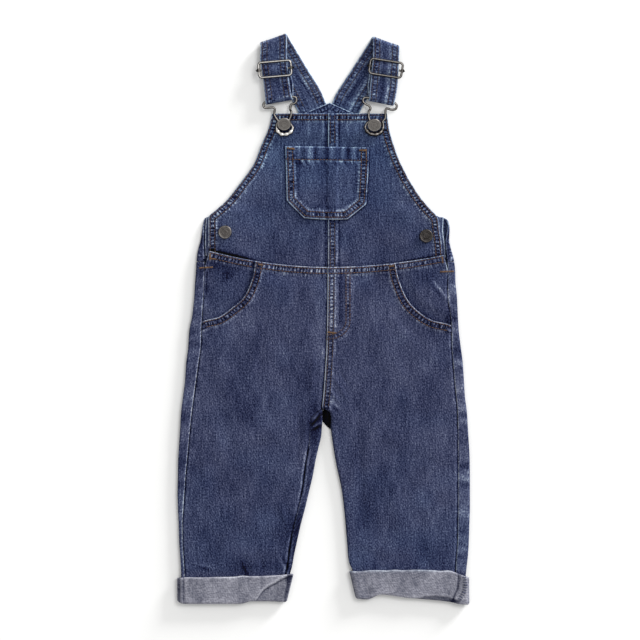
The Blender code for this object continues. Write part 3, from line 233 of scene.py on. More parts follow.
# Hooks: x, y and height over the table of the wire's middle, with a height of 0 where it lies on the bib
LEFT_HOOK = (
    (-57.2, 217.3, 5.7), (-44, 219.7, 5.7), (-30.2, 222.2, 5.7), (-27.2, 221.4, 5.7), (-26.6, 218.4, 5.6),
    (-28.6, 215.6, 5.4), (-32.4, 214.2, 5.2), (-33, 209.5, 4.9), (-31.8, 206.8, 0), (-32.4, 202.5, 0),
    (-33.9, 198.6, 0), (-32.6, 195, 0), (-30.4, 190.8, 0), (-32.6, 186.8, 0), (-36.2, 184.8, 0),
    (-40.2, 184.4, 0), (-43.8, 186.2, 0), (-46.4, 189.8, 0), (-46.8, 194, 0), (-45, 197.6, 0),
    (-47.4, 201.4, 0), (-49, 205.4, 0), (-48.4, 209.6, 4.9), (-50.8, 211.6, 5.2), (-56.4, 211, 5.4),
    (-58.8, 211.3, 5.6), (-59.8, 214, 5.7),
)
RIGHT_HOOK = (
    (43.2, 221.4, 5.7), (58, 218.5, 5.7), (71.5, 215.9, 5.7), (73.6, 213, 5.7), (72.3, 209.8, 5.6),
    (68.6, 209.2, 5.4), (63.8, 210.6, 5.1), (62.3, 208, 4.9), (62.2, 201.5, 0), (59.6, 197.2, 0),
    (60.2, 193.4, 0), (59.4, 189.4, 0), (56.6, 186, 0), (52.4, 184.4, 0), (48, 184.9, 0), (44.4, 187.2, 0),
    (42, 191.6, 0), (43.6, 195.4, 0), (46.6, 198.4, 0), (45.5, 202, 0), (45.6, 206.8, 0), (47.3, 210.4, 4.9),
    (46, 213, 5.2), (42, 215.2, 5.4), (39.8, 218.2, 5.6), (40.6, 220.8, 5.7),
)
# Sliders: centre x, y and turn in degrees. Buttons: centre x, y.
LEFT_SLIDER = (-48.2, 249.6, 5)
RIGHT_SLIDER = (62.6, 250.4, -9)
LEFT_BIB_BUTTON = (-39, 195)
RIGHT_BIB_BUTTON = (51.1, 194)
LEFT_SIDE_BUTTON = (-98.2, 86.8)
RIGHT_SIDE_BUTTON = (103, 83)
# Cuffs: share of the width from the left, y of the upper edge, y of the lower edge
LEFT_CUFF = ((0, -258.8, -282.2), (0.06, -258.5, -284.6), (0.35, -257.6, -284.7), (0.58, -257, -284.6),
             (0.68, -256.7, -282), (0.85, -256.3, -282.2), (1, -255.2, -283))
LEFT_CUFF_SIDES = (-146.2, -29.6, -146, -36.4)
RIGHT_CUFF = ((0, -252.2, -279.4), (0.1, -251.9, -280.2), (0.22, -251.4, -275.4), (0.45, -250.9, -278.6),
              (0.6, -250.8, -280), (0.82, -251.6, -282.6), (0.92, -255, -285), (1, -258.6, -285.6))
RIGHT_CUFF_SIDES = (26, 145.9, 32.6, 146.2)
# Long soft folds and rises of the upper layer: x, y, half length, half width, direction in degrees, height
SOFT_FOLDS = (
    (-60, -20, 46, 11, 62, 0.55), (-96, -70, 40, 12, -74, 0.45), (-70, -118, 52, 13, 20, 0.5),
    (-98, -196, 44, 13, -35, 0.55), (-58, -232, 34, 10, 12, 0.45), (58, -24, 44, 12, -58, 0.5),
    (92, -66, 42, 12, 78, 0.45), (66, -116, 54, 13, -22, 0.5), (84, -190, 46, 14, 34, 0.55),
    (52, -228, 32, 10, -14, 0.45), (-50, 88, 40, 11, 16, 0.35), (70, 84, 38, 11, -18, 0.35),
)
# The photograph's view: straight down through a long lens, with 640 mm of table across the picture
VIEW_WIDE = 640.0
VIEW_CENTRE = (-3.2, -1.0)
VIEW_LENS = 135.0
SENSOR = 36.0
TABLE_HALF = 3.0        # half the table's side in metres
TABLE_DROP = 0.0001     # and how far it lies below the cloth


def put(name, data):
    """A new object in the scene."""
    made = bpy.data.objects.new(name, data)
    bpy.context.scene.collection.objects.link(made)
    return made


def set_camera():
    data = bpy.data.cameras.new("camera")
    data.lens = VIEW_LENS
    data.sensor_width = SENSOR
    data.clip_end = 20.0
    camera = put("camera", data)
    x, y = np.subtract(VIEW_CENTRE, CENTRE)
    camera.location = (x * MM, y * MM, (VIEW_WIDE * VIEW_LENS / SENSOR + LEG_TOP) * MM)
    bpy.context.scene.camera = camera


def linear(code):
    """The linear colour of an sRGB hex code."""
    shares = [int(code[k:k + 2], 16) / 255 for k in (1, 3, 5)]
    return [c / 12.92 if c <= 0.04045 else ((c + 0.055) / 1.055) ** 2.4 for c in shares] + [1.0]


def add_node(tree, kind, inputs=(), output=0, steps=(), **settings):
    """Adds a node with its settings and returns one of its outputs. An input is a value, or the output that
    it is linked from. Steps are a colour ramp's places and hex colours."""
    made = tree.nodes.new("ShaderNode" + kind)
    for key, value in settings.items():
        setattr(made, key, value)
    for key, value in dict(inputs).items():
        if isinstance(value, bpy.types.NodeSocket):
            tree.links.new(value, made.inputs[key])
        else:
            made.inputs[key].default_value = value
    for k, (place, code) in enumerate(steps):
        stops = made.color_ramp.elements
        stop = stops[k] if k < 2 else stops.new(place)
        stop.position = place
        stop.color = linear(code)
    return made.outputs[output] if made.outputs else None


def start_finish(name):
    """A new material and its empty node tree."""
    finish = bpy.data.materials.new(name)
    finish.use_nodes = True
    tree = finish.node_tree
    tree.nodes.clear()
    return finish, tree


def end_finish(tree, **sockets):
    """The Principled shader of a material, with its own sockets set by name, and the output."""
    inputs = {key.replace("_", " "): value for key, value in sockets.items()}
    shader = add_node(tree, "BsdfPrincipled", inputs)
    add_node(tree, "OutputMaterial", {"Surface": shader})


def table_paint():
    """Matt white laminate, moulded smooth: an even pale ground that takes a soft shadow and no gloss."""
    finish, tree = start_finish("matt_white_laminate")
    where = add_node(tree, "TexCoord", output="Object")
    # the mould leaves faint waves about 6 mm apart
    grain = add_node(tree, "TexNoise", {"Vector": where, "Scale": 160.0, "Detail": 2.0})
    bump = add_node(tree, "Bump", {"Height": grain, "Strength": 0.02, "Distance": 0.0002})
    end_finish(tree, Base_Color=linear("#e8e8e7"), Roughness=0.75, Specular_IOR_Level=0.2, Normal=bump)
    return finish


def set_table():
    far = TABLE_HALF
    data = bpy.data.meshes.new("table")
    data.from_pydata([(-far, -far, 0), (far, -far, 0), (far, far, 0), (-far, far, 0)], [], [(0, 1, 2, 3)])
    data.materials.append(table_paint())
    table = put("table", data)
    table.location.z = -TABLE_DROP


def add_light(name, turn, rise, away, power, size):
    """A square soft box at a distance in metres, aimed at the garment: turn is its bearing from +X and rise
    its height over the table, in degrees."""
    a, b = math.radians(turn), math.radians(rise)
    place = (away * math.cos(a) * math.cos(b), away * math.sin(a) * math.cos(b), away * math.sin(b))
    data = bpy.data.lights.new(name, "AREA")
    data.energy = power
    data.size = size
    light = put(name, data)
    light.location = place
    light.rotation_euler = (-Vector(place)).to_track_quat("-Z", "Y").to_euler()


def set_lights():
    """Two far soft boxes at the upper right, one low and one higher, throw a soft shadow that fades out
    slowly to the lower left, and white walls fill the rest."""
    add_light("low_soft_box", 48.0, 10.5, 8.0, 1130.0, 2.3)
    add_light("high_soft_box", 40.0, 56.0, 6.0, 130.0, 2.3)
    world = bpy.data.worlds.new("white_studio")
    world.use_nodes = True
    ground = world.node_tree.nodes["Background"]
    ground.inputs["Color"].default_value = (1.0, 1.0, 1.0, 1.0)
    ground.inputs["Strength"].default_value = 0.75
    bpy.context.scene.world = world
    bpy.context.scene.view_settings.view_transform = "Standard"


set_camera()
set_table()
set_lights()


def ease(a, b, x):
    """0 at a and 1 at b, with a soft start and end, and level beyond them. b may be the lower."""
    t = np.clip((x - a) / (b - a), 0, 1)
    return t * t * (3.0 - 2.0 * t)


def hill(x, middle, wide):
    """1 at the middle, falling softly to nothing about two widths away."""
    return np.exp(-((x - middle) / wide) ** 2)


def through(xs, ys):
    """A smooth curve through every (x, y) that never swings past its neighbours."""
    xs, ys = np.array(xs, float), np.array(ys, float)
    step = np.diff(xs)
    rise = np.diff(ys) / step
    a, b = rise[:-1], rise[1:]
    wa, wb = 2 * step[1:] + step[:-1], step[1:] + 2 * step[:-1]
    same = a * b > 0
    safe_a, safe_b = np.where(same, a, 1), np.where(same, b, 1)
    middle = np.where(same, (wa + wb) / (wa / safe_a + wb / safe_b), 0)
    slope = np.concatenate([rise[:1], middle, rise[-1:]])

    def at(x):
        i = np.clip(np.searchsorted(xs, x, side="right") - 1, 0, len(xs) - 2)
        h = step[i]
        t = np.clip((x - xs[i]) / h, 0, 1)
        u = 1.0 - t
        return (ys[i] * (1 + 2 * t) * u * u + slope[i] * h * t * u * u
                + ys[i + 1] * t * t * (3 - 2 * t) - slope[i + 1] * h * t * t * u)
    return at


def pairs(x, y):
    """Points from their x and y."""
    return list(zip(np.ravel(x).tolist(), np.ravel(y).tolist()))


def columns(table):
    """One smooth curve for each column of a table, by row number."""
    return [through(range(len(table)), [row[k] for row in table]) for k in range(len(table[0]))]


def by_y(table):
    """One smooth curve for each column after the first, by y going down the garment."""
    down = [-row[0] for row in table]
    curves = [through(down, [row[k] for row in table]) for k in range(1, len(table[0]))]
    return [lambda y, c=c: c(-np.asarray(y, float)) for c in curves]


left_fold, left_seam = by_y(LEFT_SIDE)
right_fold, right_seam = by_y(RIGHT_SIDE)
left_inner_fold, left_inseam = by_y(LEFT_INNER)
right_inner_fold = by_y(RIGHT_INNER)[0]
right_back_crotch = by_y(RIGHT_BACK_CROTCH)[0]
left_back_crotch = by_y(LEFT_BACK_CROTCH) + by_y(LEFT_BACK_TURN)

FRONT_LEFT = FRONT_LEFT_TOP + tuple(
    (left_seam(y) + GAP / 2, y, left_inseam(y) - GAP / 2, y) for y in LEG_ROWS)
FRONT_RIGHT = FRONT_RIGHT_TOP + tuple(
    (right_inner_fold(y), y, right_seam(y) - GAP / 2, y) for y in LEG_ROWS)


def waist(x):
    """The trousers' top edge, which sags to the centre."""
    return 51.9 + np.where(x < 4.8, 16.1 * ((x - 4.8) / 118.4) ** 2, 11.9 * ((x - 4.8) / 115.7) ** 2)


def folds(table, x, y, sharp=1.6):
    """Height of soft folds: each row is x, y, half length, half width, direction in degrees and height."""
    total = np.zeros(np.broadcast(x, y).shape)
    for cx, cy, long, wide, turn, high in table:
        a = math.radians(turn)
        p = ((x - cx) * math.cos(a) + (y - cy) * math.sin(a)) / long
        q = ((y - cy) * math.cos(a) - (x - cx) * math.sin(a)) / wide
        total += high * np.exp(-sharp * (p * p + q * q))
    return total


def soft(x, y):
    """Height of the long soft folds in the upper layer."""
    return np.minimum(folds(SOFT_FOLDS, x, y), 0.7)


def lift(y, leg):
    """The leg's underside rises off the table to enter the cuff."""
    return CUFF_FLOOR * (ease(-241, -254.5, y) if leg < 0 else ease(-235, -248.5, y))


def leg_top(x, y):
    """Middle of the leg's upper layer."""
    at_cuff = ease(-236, -250, y)
    return LEG_TOP + 0.2 * at_cuff + soft(x, y) * (1 - at_cuff)


def back_low(y):
    return (STRAP_THICK + GAP) * ease(182, 196, y)


def over_placket(x, y):
    side = np.where(x < 0, ease(-60, -90, x), ease(60, 88, x))
    return side * ease(118, 106, y)


def bib_low(x, y):
    """Underside of the bib, over the back's peak and the button extensions."""
    peak = (STRAP_THICK + GAP) * ease(172, 190, y) * ease(56, 38, abs(x - PEAK[0]))
    return LAYER + peak + LAYER * over_placket(x, y) + soft(x, y)


def front_low(x, y):
    """Underside of the trouser fronts: over bib and facing at the waist, then over the open leg."""
    near = ease(waist(x) - 26, waist(x) - 8, y)
    over_facing = LAYER * ease(50, 60, abs(x - 2.5))
    over_seam = HEM_RISE * ease(1, 4, x) * ease(21, 15, x)
    return near * (bib_low(x, y) + LAYER + over_facing + over_seam) + (1 - near) * (leg_top(x, y) - HALF)


def along(line, x, y):
    """How far along a line the nearest point to each (x, y) lies, and how far away it is."""
    best = np.full(np.broadcast(x, y).shape, 1e9)
    place = np.zeros(best.shape)
    start = 0.0
    for (ax, ay), (bx, by) in zip(line, line[1:]):
        dx, dy = bx - ax, by - ay
        length = math.hypot(dx, dy)
        t = np.clip(((x - ax) * dx + (y - ay) * dy) / length ** 2, 0, 1)
        off = np.hypot(x - ax - t * dx, y - ay - t * dy)
        place = np.where(off < best, start + t * length, place)
        best = np.minimum(off, best)
        start += length
    return place, best


def facing_low(x, y, mouth):
    """Underside of a pocket facing: level with the side seam, lower at the mouth and under the front."""
    near = ease(waist(x) - 16, waist(x) - 8, y)
    out = ease(1, 14, along(mouth, x, y)[1])
    open_part = leg_top(x, y) - HALF - LAYER * (1 - out)
    return near * (bib_low(x, y) + LAYER) + (1 - near) * open_part


WAVE_VALUES = 256      # random values along a wave before it repeats
PATCH_VALUES = 64      # and along each side of a square of patches


def wander(t, seed):
    """A smooth random wave of t, from -1 to 1, with about one rise or dip for each whole number."""
    values = np.random.default_rng(seed).uniform(-1, 1, WAVE_VALUES)
    i = np.floor(t).astype(int)
    f = t - i
    f = f * f * (3 - 2 * f)
    return values[i % WAVE_VALUES] * (1 - f) + values[(i + 1) % WAVE_VALUES] * f


def mottle(x, y, size, seed):
    """Smooth random patches of about that size, from -1 to 1."""
    values = np.random.default_rng(seed).uniform(-1, 1, (PATCH_VALUES, PATCH_VALUES))
    i, j = np.floor(x / size).astype(int), np.floor(y / size).astype(int)
    a, b = x / size - i, y / size - j
    a, b = a * a * (3 - 2 * a), b * b * (3 - 2 * b)
    i, j, k, m = (place % PATCH_VALUES for place in (i, j, i + 1, j + 1))
    return ((values[i, j] * (1 - a) + values[k, j] * a) * (1 - b)
            + (values[i, m] * (1 - a) + values[k, m] * a) * b)

# How finely the cloth is drawn: the space between neighbouring points, in mm
FINE = 1.15
EDGE_RING = 0.45        # first row in from an edge, which rounds the rim
EDGE_DROP = 0.28        # how far the rim falls away at the edge itself
CURVE_FADE = 4.0        # a curved waist or hem fades out into a panel over this many sections
FAR_FROM_HEM = 9.0      # place between the rows that says there is no hem

# Creases of the upper layer, smaller than the long folds: x, y, half length, half width, direction, height
CREASES = (
    (-7, -97, 14, 2.2, 63, 0.9), (-12, -90, 11, 2, 52, -0.5), (-25, -111, 32, 4, 90, -0.6),
    (-17, -108, 20, 3, 80, 0.5), (-34, -213, 12, 3, 35, -0.5), (-40, -196, 14, 4, 110, 0.5),
    (-75, -250, 7, 2, 115, -0.7), (-61, -247, 8, 2.5, 100, -0.5), (-123, -241, 9, 2.5, 100, 0.35),
    (-98, -226, 26, 6, 85, 0.3), (-101, -26, 16, 5, 40, 0.35), (-63, -36, 28, 5, 84, -0.4),
    (-38, 19, 24, 6, 70, 0.3), (-11, -61, 30, 3.5, 88, 0.45), (-95, -121, 34, 7, 100, -0.35),
    (-118, -151, 30, 5, 95, 0.3), (-68, -161, 36, 8, 70, 0.35), (-48, -131, 26, 6, 60, -0.35),
    (16, -67, 15, 2, -60, 0.6), (20, -59, 12, 1.8, -58, -0.45), (11, -77, 9, 1.6, -50, 0.5),
    (12, -48, 8, 1.8, -65, 0.4), (37, -151, 60, 5, 93, -0.55), (49, -121, 40, 7, 88, 0.35),
    (77, -11, 22, 6, -50, 0.35), (107, -31, 26, 6, -70, 0.35), (122, -51, 20, 4, 85, -0.35),
    (97, -111, 36, 8, 80, -0.3), (72, -181, 40, 8, 100, 0.35), (107, -221, 24, 6, 95, 0.3),
    (104, -246, 9, 2.5, 80, -0.4), (42, -241, 12, 3, 75, 0.4), (20, 29, 20, 3, 88, -0.35),
    (-73, 139, 30, 6, 60, 0.3), (-93, 104, 20, 5, 40, 0.25), (77, 159, 26, 5, -65, 0.3),
    (102, 104, 20, 5, -45, 0.25), (-23, 84, 26, 6, 20, 0.25), (32, 84, 22, 6, -15, 0.25),
    (-23, 189, 8, 1.6, 80, 0.25), (32, 189, 8, 1.6, 100, 0.25), (-101, 44, 12, 4, 30, 0.3),
    (107, 34, 14, 4, 100, 0.35), (124, 19, 8, 2, 120, 0.4),
)
# Where the wash took more or less colour, with painted light and shade along creases and folds and painted
# shadow in the crotch and under the bib buttons: x, y, half length, half width, direction, amount (paler is
# more)
WASH_AND_PAINTED_LIGHT = (
    (-83, -1, 36, 22, 60, 0.11), (-98, -81, 50, 24, 95, 0.02), (-66, -11, 26, 6, 85, -0.12),
    (-18, -76, 44, 9, 88, -0.16), (-4, -1, 50, 4, 90, 0.15), (-73, -121, 36, 26, 90, 0.02),
    (-33, -211, 34, 12, 100, -0.18), (-93, -221, 40, 30, 0, -0.05), (77, -1, 36, 26, 0, 0.05),
    (38, -151, 60, 6, 92, -0.12), (57, -201, 40, 20, 90, -0.05), (117, -131, 60, 14, 90, 0.06),
    (-50, 155, 44, 18, 60, 0.09), (68, 155, 44, 18, -60, 0.09), (4, 84, 40, 14, 0, 0),
    (-108, 54, 14, 8, 15, -0.35), (-95, 44, 8, 5, 40, -0.42), (102, 44, 10, 6, 0, -0.2),
    (125, -1, 12, 5, 90, -0.25), (-8, -96, 16, 7, 75, -0.42), (-27, -240, 14, 8, 70, -0.15),
    (-8, -98, 6, 1.1, 51, 0.8), (-6.5, -100.4, 6, 1.2, 51, -0.8), (-6.7, -106, 5, 1.1, 29, 0.7),
    (-6, -108.4, 5, 1.2, 29, -0.8), (-8, -117, 14, 5, 80, -0.22), (9.8, -81, 7, 1, 80, 0.4),
    (14, -87, 6, 1.1, -45, 0.35), (12, -90, 5, 1.2, -45, -0.5), (-79, -92, 26, 7, -55, -0.14),
    (-78, -251, 9, 1.9, 115, -0.65), (-52, -247, 22, 6, 0, -0.2), (-12, -104, 4, 2.4, 80, -0.45),
    (-118, -246.5, 7, 1.3, -15, 0.35), (-118, -249.4, 8, 1.5, -15, -0.35), (-39.5, -247, 9, 1.3, -63, 0.5),
    (-36.5, -246, 10, 1.6, -63, -0.5), (115.8, 31, 10, 1.2, -51, 0.65), (113, 28.5, 9, 1.7, -51, -0.35),
    (108, 14, 8, 1.2, -70, 0.35), (98, 36, 16, 7, 30, -0.15), (-20, 240, 10, 1.2, -56, 0.6),
    (-22.6, 238.5, 10, 1.4, -56, -0.4), (25, 217.5, 7, 1.2, -30, 0.55), (21, 211, 8, 1.2, 56, 0.4),
    (30, 238, 12, 1.6, 70, 0.35), (0, 190.5, 8, 1.1, 92, 0.4), (-14.7, 188, 8, 1.4, 86, 0.2),
    (24.8, 190, 8, 1.2, 96, 0.28), (32.6, 188, 9, 1.4, 88, 0.24), (-46, 240, 26, 15, 85, -0.12),
    (4, 190, 60, 20, 0, 0.06), (126, 22, 9, 2.2, 88, 0.45), (128.5, -16, 12, 2.2, 84, 0.4),
    (124.5, 34, 7, 1.5, 96, -0.3), (125, 4, 14, 1.4, 88, -0.35), (22, -2, 26, 3, 85, 0.1),
    (58, 8, 20, 8, 70, 0.07), (-39.2, 188.6, 7, 3, 0, -0.9), (51.6, 187.8, 7, 3, 0, -0.9),
    (-40, -40, 40, 10, 80, 0.06), (-40, 34, 34, 9, 0, -0.1), (-30, 15, 30, 20, 0, -0.03),
    (50, 15, 25, 20, 0, 0.03), (-55, 160, 20, 12, 65, 0.09), (-72, 104, 24, 14, 0, -0.06),
    (-95, 52, 22, 5, -12, -0.1), (46, 40, 20, 5, 0, 0.1), (-40, 41, 26, 4, 0, 0.06),
    (28, -156, 30, 6, 90, -0.06), (-114.1, 84, 24, 1.5, 91, 0.6), (117.6, 84, 26, 1.6, 88, 0.25),
)
# How much bluer the dye stayed than the legs' middle, up the garment: y, share
BLUE = ((-256, 0), (-250, 0.35), (-180, 0.15), (-100, 0), (0, 0), (40, 0.1), (80, 0.25), (120, 0.5),
        (160, 0.8), (205, 0.9), (225, 0.5))


def run_of(columns):
    """The length run at each point of a line, from its columns of coordinates."""
    return np.concatenate([[0], np.cumsum(np.linalg.norm(np.diff(columns), axis=0))])


def at_run(stops, run, line):
    """Points at some length runs along a line of points in space."""
    return np.stack([np.interp(stops, run, line[:, k]) for k in range(3)], -1)


def evenly(line, end, gap):
    """Row numbers from 0 to end that are about gap mm apart along a line."""
    fine = np.linspace(0, end, 60 * end + 1)
    x, y = line(fine)
    run = run_of((x, y))
    count = max(2, int(round(run[-1] / gap)))
    return np.interp(np.linspace(0, run[-1], count + 1), run, fine)


def with_rim(count, width):
    """Shares from 0 to 1 across a width, with the first and last of them a rim's width in from the ends."""
    rim = EDGE_RING / width
    stops = np.linspace(0, 1, count)
    return np.concatenate([[0, rim], stops[1:-1], [1.0 - rim, 1]])


def panel_points(table, top=None, bottom=None):
    """x and y of a panel lofted between its two edges. top and bottom are the curves that the first and last
    rows follow."""
    lx, ly, rx, ry = columns(table)[:4]
    end = len(table) - 1
    rows = evenly(lambda v: ((lx(v) + rx(v)) / 2, (ly(v) + ry(v)) / 2), end, FINE)
    rim = EDGE_RING / FINE * (rows[1] - rows[0])
    v = np.concatenate([[0, rim], rows[1:-1], [end - rim, end]])[:, None]
    width = np.hypot(rx(v) - lx(v), ry(v) - ly(v)).max()
    u = with_rim(int(width / FINE) + 1, width)[None, :]
    x = lx(v) + (rx(v) - lx(v)) * u
    y = ly(v) + (ry(v) - ly(v)) * u
    for curve, row in ((top, 0), (bottom, float(end))):
        if curve:
            line_x = lx(row) + (rx(row) - lx(row)) * u
            line_y = ly(row) + (ry(row) - ly(row)) * u
            y = y + (curve(line_x) - line_y) * np.clip(1 - abs(v - row) / CURVE_FADE, 0, 1) ** 2
    return grid(x, y)


def edge(table, right, first=0, last=None):
    """Points along a panel's left or right edge, from one row number to another."""
    x, y = columns(table)[2:4] if right else columns(table)[:2]
    v = np.linspace(first, len(table) - 1 if last is None else last, 70)
    return pairs(x(v), y(v))


def inset(line, distance):
    """A line moved over by a distance, to its left as it runs."""
    p = np.array(line)
    d = np.gradient(p, axis=0)
    d /= np.hypot(d[:, 0], d[:, 1])[:, None]
    return pairs(p[:, 0] - d[:, 1] * distance, p[:, 1] + d[:, 0] * distance)


def drape(x, y):
    """Small creases and the slight unevenness of washed cloth, for every upper layer."""
    uneven = 0.16 * mottle(x, y, 17, 3) + 0.09 * mottle(x + 0.4 * y, y, 7, 4)
    return folds(CREASES, x, y, 1.3) + uneven


def wash_and_painted_light(x, y):
    """Fading over broad areas, from the listed patches and from the drum, with the painted light and shade
    that some of those patches hold.
    """
    return folds(WASH_AND_PAINTED_LIGHT, x, y, 1) + 0.08 * mottle(x, y, 28, 5) + 0.1 * mottle(x, y * 0.6, 10, 6) - 0.02


def hem_form(s, d, rows, band, seed, rope, pale, step=HEM_RISE):
    """A stitched hem or felled seam, s mm along it and d mm in from its edge: its height, its fading and its
    own coordinates. Doubled cloth stands proud, with a pale worn edge and uneven puckers along it."""
    inside = ease(band + 0.6, band - 0.5, d)
    pucker = wander((s - 0.3 * d) / 5.3, seed) * (0.7 + 0.5 * wander(s / 17, seed + 1))
    between = inside * ease(0.3, 1.8, d)
    height = step * inside + 0.5 * rope * pucker * between
    worn_edge = pale * hill(d, 0, 0.62) * (0.9 + 0.35 * wander(s / 3.1, seed + 2))
    past = ease(band - 0.2, band + 0.8, d) * ease(band + 7, band + 1, d)
    halo = past * (0.06 + 0.12 * wander(s / 6, seed + 4)) - 0.1 * hill(d, band + 3.2, 1.2)
    halo = halo + 0.3 * hill(d, band + 0.7, 0.8) * (0.8 + 0.6 * wander(s / 4, seed + 5))
    fade_and_shade = worn_edge + 0.6 * rope * pucker * between - 0.10 * between + halo
    first, last = (rows[0], rows[-1]) if len(rows) > 1 else (-99, -90)
    return height, fade_and_shade, (s + 40.0 * seed, (d - first) / (last - first), 4.0 * rope)


def joined(*forms):
    """Several hems' forms on one panel: the highest form, all their fading, and the coordinates of whichever
    hem is nearest, weakened along the mitre between two of them."""
    height = np.maximum.reduce([form[0] for form in forms])
    fade_and_shade = sum(form[1] for form in forms)
    near = np.stack([-abs(form[2][1] - 0.5) for form in forms])
    ranks = np.sort(near, axis=0)
    nearest = np.argmax(near, axis=0)
    hem = [np.choose(nearest, [np.broadcast_to(part, height.shape) for part in parts])
           for parts in zip(*[form[2] for form in forms])]
    hem[2] = hem[2] * (ease(0, 0.35, ranks[-1] - ranks[-2]) if len(forms) > 1 else 1)
    return height, fade_and_shade, hem


def make_piece(name, points, faces, finish, **values):
    """A smooth piece from points in mm, faces, and the values that its finish reads at each point."""
    points = (np.reshape(points, (-1, 3)) - (*CENTRE, 0)) * MM
    data = bpy.data.meshes.new(name)
    data.from_pydata(points.tolist(), [], faces)
    data.shade_smooth()
    data.materials.append(finish)
    for key, value in values.items():
        kind, entry = ("FLOAT", "value") if np.ndim(value) == 1 else ("FLOAT_VECTOR", "vector")
        data.attributes.new(key, kind, "POINT").data.foreach_set(entry, np.ravel(value))
    piece = put(name, data)
    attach(piece, "root")
    return piece


def shell(name, top, low, weave, fade_and_shade, finish, hem=None, ring=False):
    """A closed shell of cloth between two grids of points in mm, with the weave's own coordinates in mm, how
    worn each point is with its painted light and shade, and its nearest hem's coordinates: mm along, place
    between the rows, strength."""
    top, low = top.copy(), low.copy()
    slope = top - low
    slope *= EDGE_DROP / np.maximum(np.linalg.norm(slope, axis=-1, keepdims=True), 1e-6)
    ends = [np.s_[0], np.s_[-1]] + ([] if ring else [np.s_[:, 0], np.s_[:, -1]])
    for place in ends:
        top[place] -= slope[place]
        low[place] += slope[place]
    rows, across = top.shape[:2]
    index = np.arange(rows * across).reshape(rows, across)
    under = rows * across
    if ring:
        index = np.hstack([index, index[:, :1]])
    upper = np.stack([index[:-1, :-1], index[:-1, 1:], index[1:, 1:], index[1:, :-1]], -1).reshape(-1, 4)
    rims = [(index[0, 1:], index[0, :-1]), (index[-1, :-1], index[-1, 1:])]
    if not ring:
        rims += [(index[:-1, 0], index[1:, 0]), (index[1:, -1], index[:-1, -1])]
    faces = [upper, upper[:, ::-1] + under]
    faces += [np.stack([a, b, b + under, a + under], -1) for a, b in rims]
    faces = np.concatenate(faces)
    corner, right, down = top[0, 0], top[0, 1], top[1, 0]
    if np.dot(np.cross(right - corner, down - corner), corner - low[0, 0]) < 0:
        faces = faces[:, ::-1]
    x, y = top[..., 0], top[..., 1]
    dyed = (np.interp(y, *zip(*BLUE)) + 0.2 * mottle(x, y, 20, 7)) * ease(-256, -252, y)
    along_hem, between, strength = hem if hem else (0, FAR_FROM_HEM, 0)
    values = {"weave": (weave[..., 0] * MM, weave[..., 1] * MM, 0), "fade_and_shade": (fade_and_shade,), "blue": (dyed,),
              "hem": (along_hem * MM, between, strength)}
    for key, parts in values.items():
        parts = np.stack([np.broadcast_to(part, (rows, across)) for part in parts], -1)
        values[key] = np.squeeze(np.tile(parts.reshape(under, -1), (2, 1)))
    uppers[name] = (top, upper, low)
    points = np.concatenate([top.reshape(-1, 3), low.reshape(-1, 3)])
    return make_piece(name, points, faces.tolist(), finish, **values)


uppers = {}     # each cloth piece's upper grid of points, its faces and its lower grid, for the needle


def dress(node):
    """Hides the imported solid that a cloth piece stands in for."""
    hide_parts(node)


def flat_piece(name, points, low, form):
    """A panel that lies flat. low is its underside and form its hems' height, fading with any painted shade,
    and coordinates.
    """
    x, y = points
    height, fade_and_shade, hem = form
    under = low + drape(x, y)
    top = np.stack([x, y, under + WALL + height], -1)
    return shell(name, top, np.stack([x, y, under], -1), np.stack([x, y], -1), fade_and_shade + wash_and_painted_light(x, y), denim, hem)


def grid(x, y):
    """x and y spread to one shape."""
    return np.broadcast_arrays(x, y)


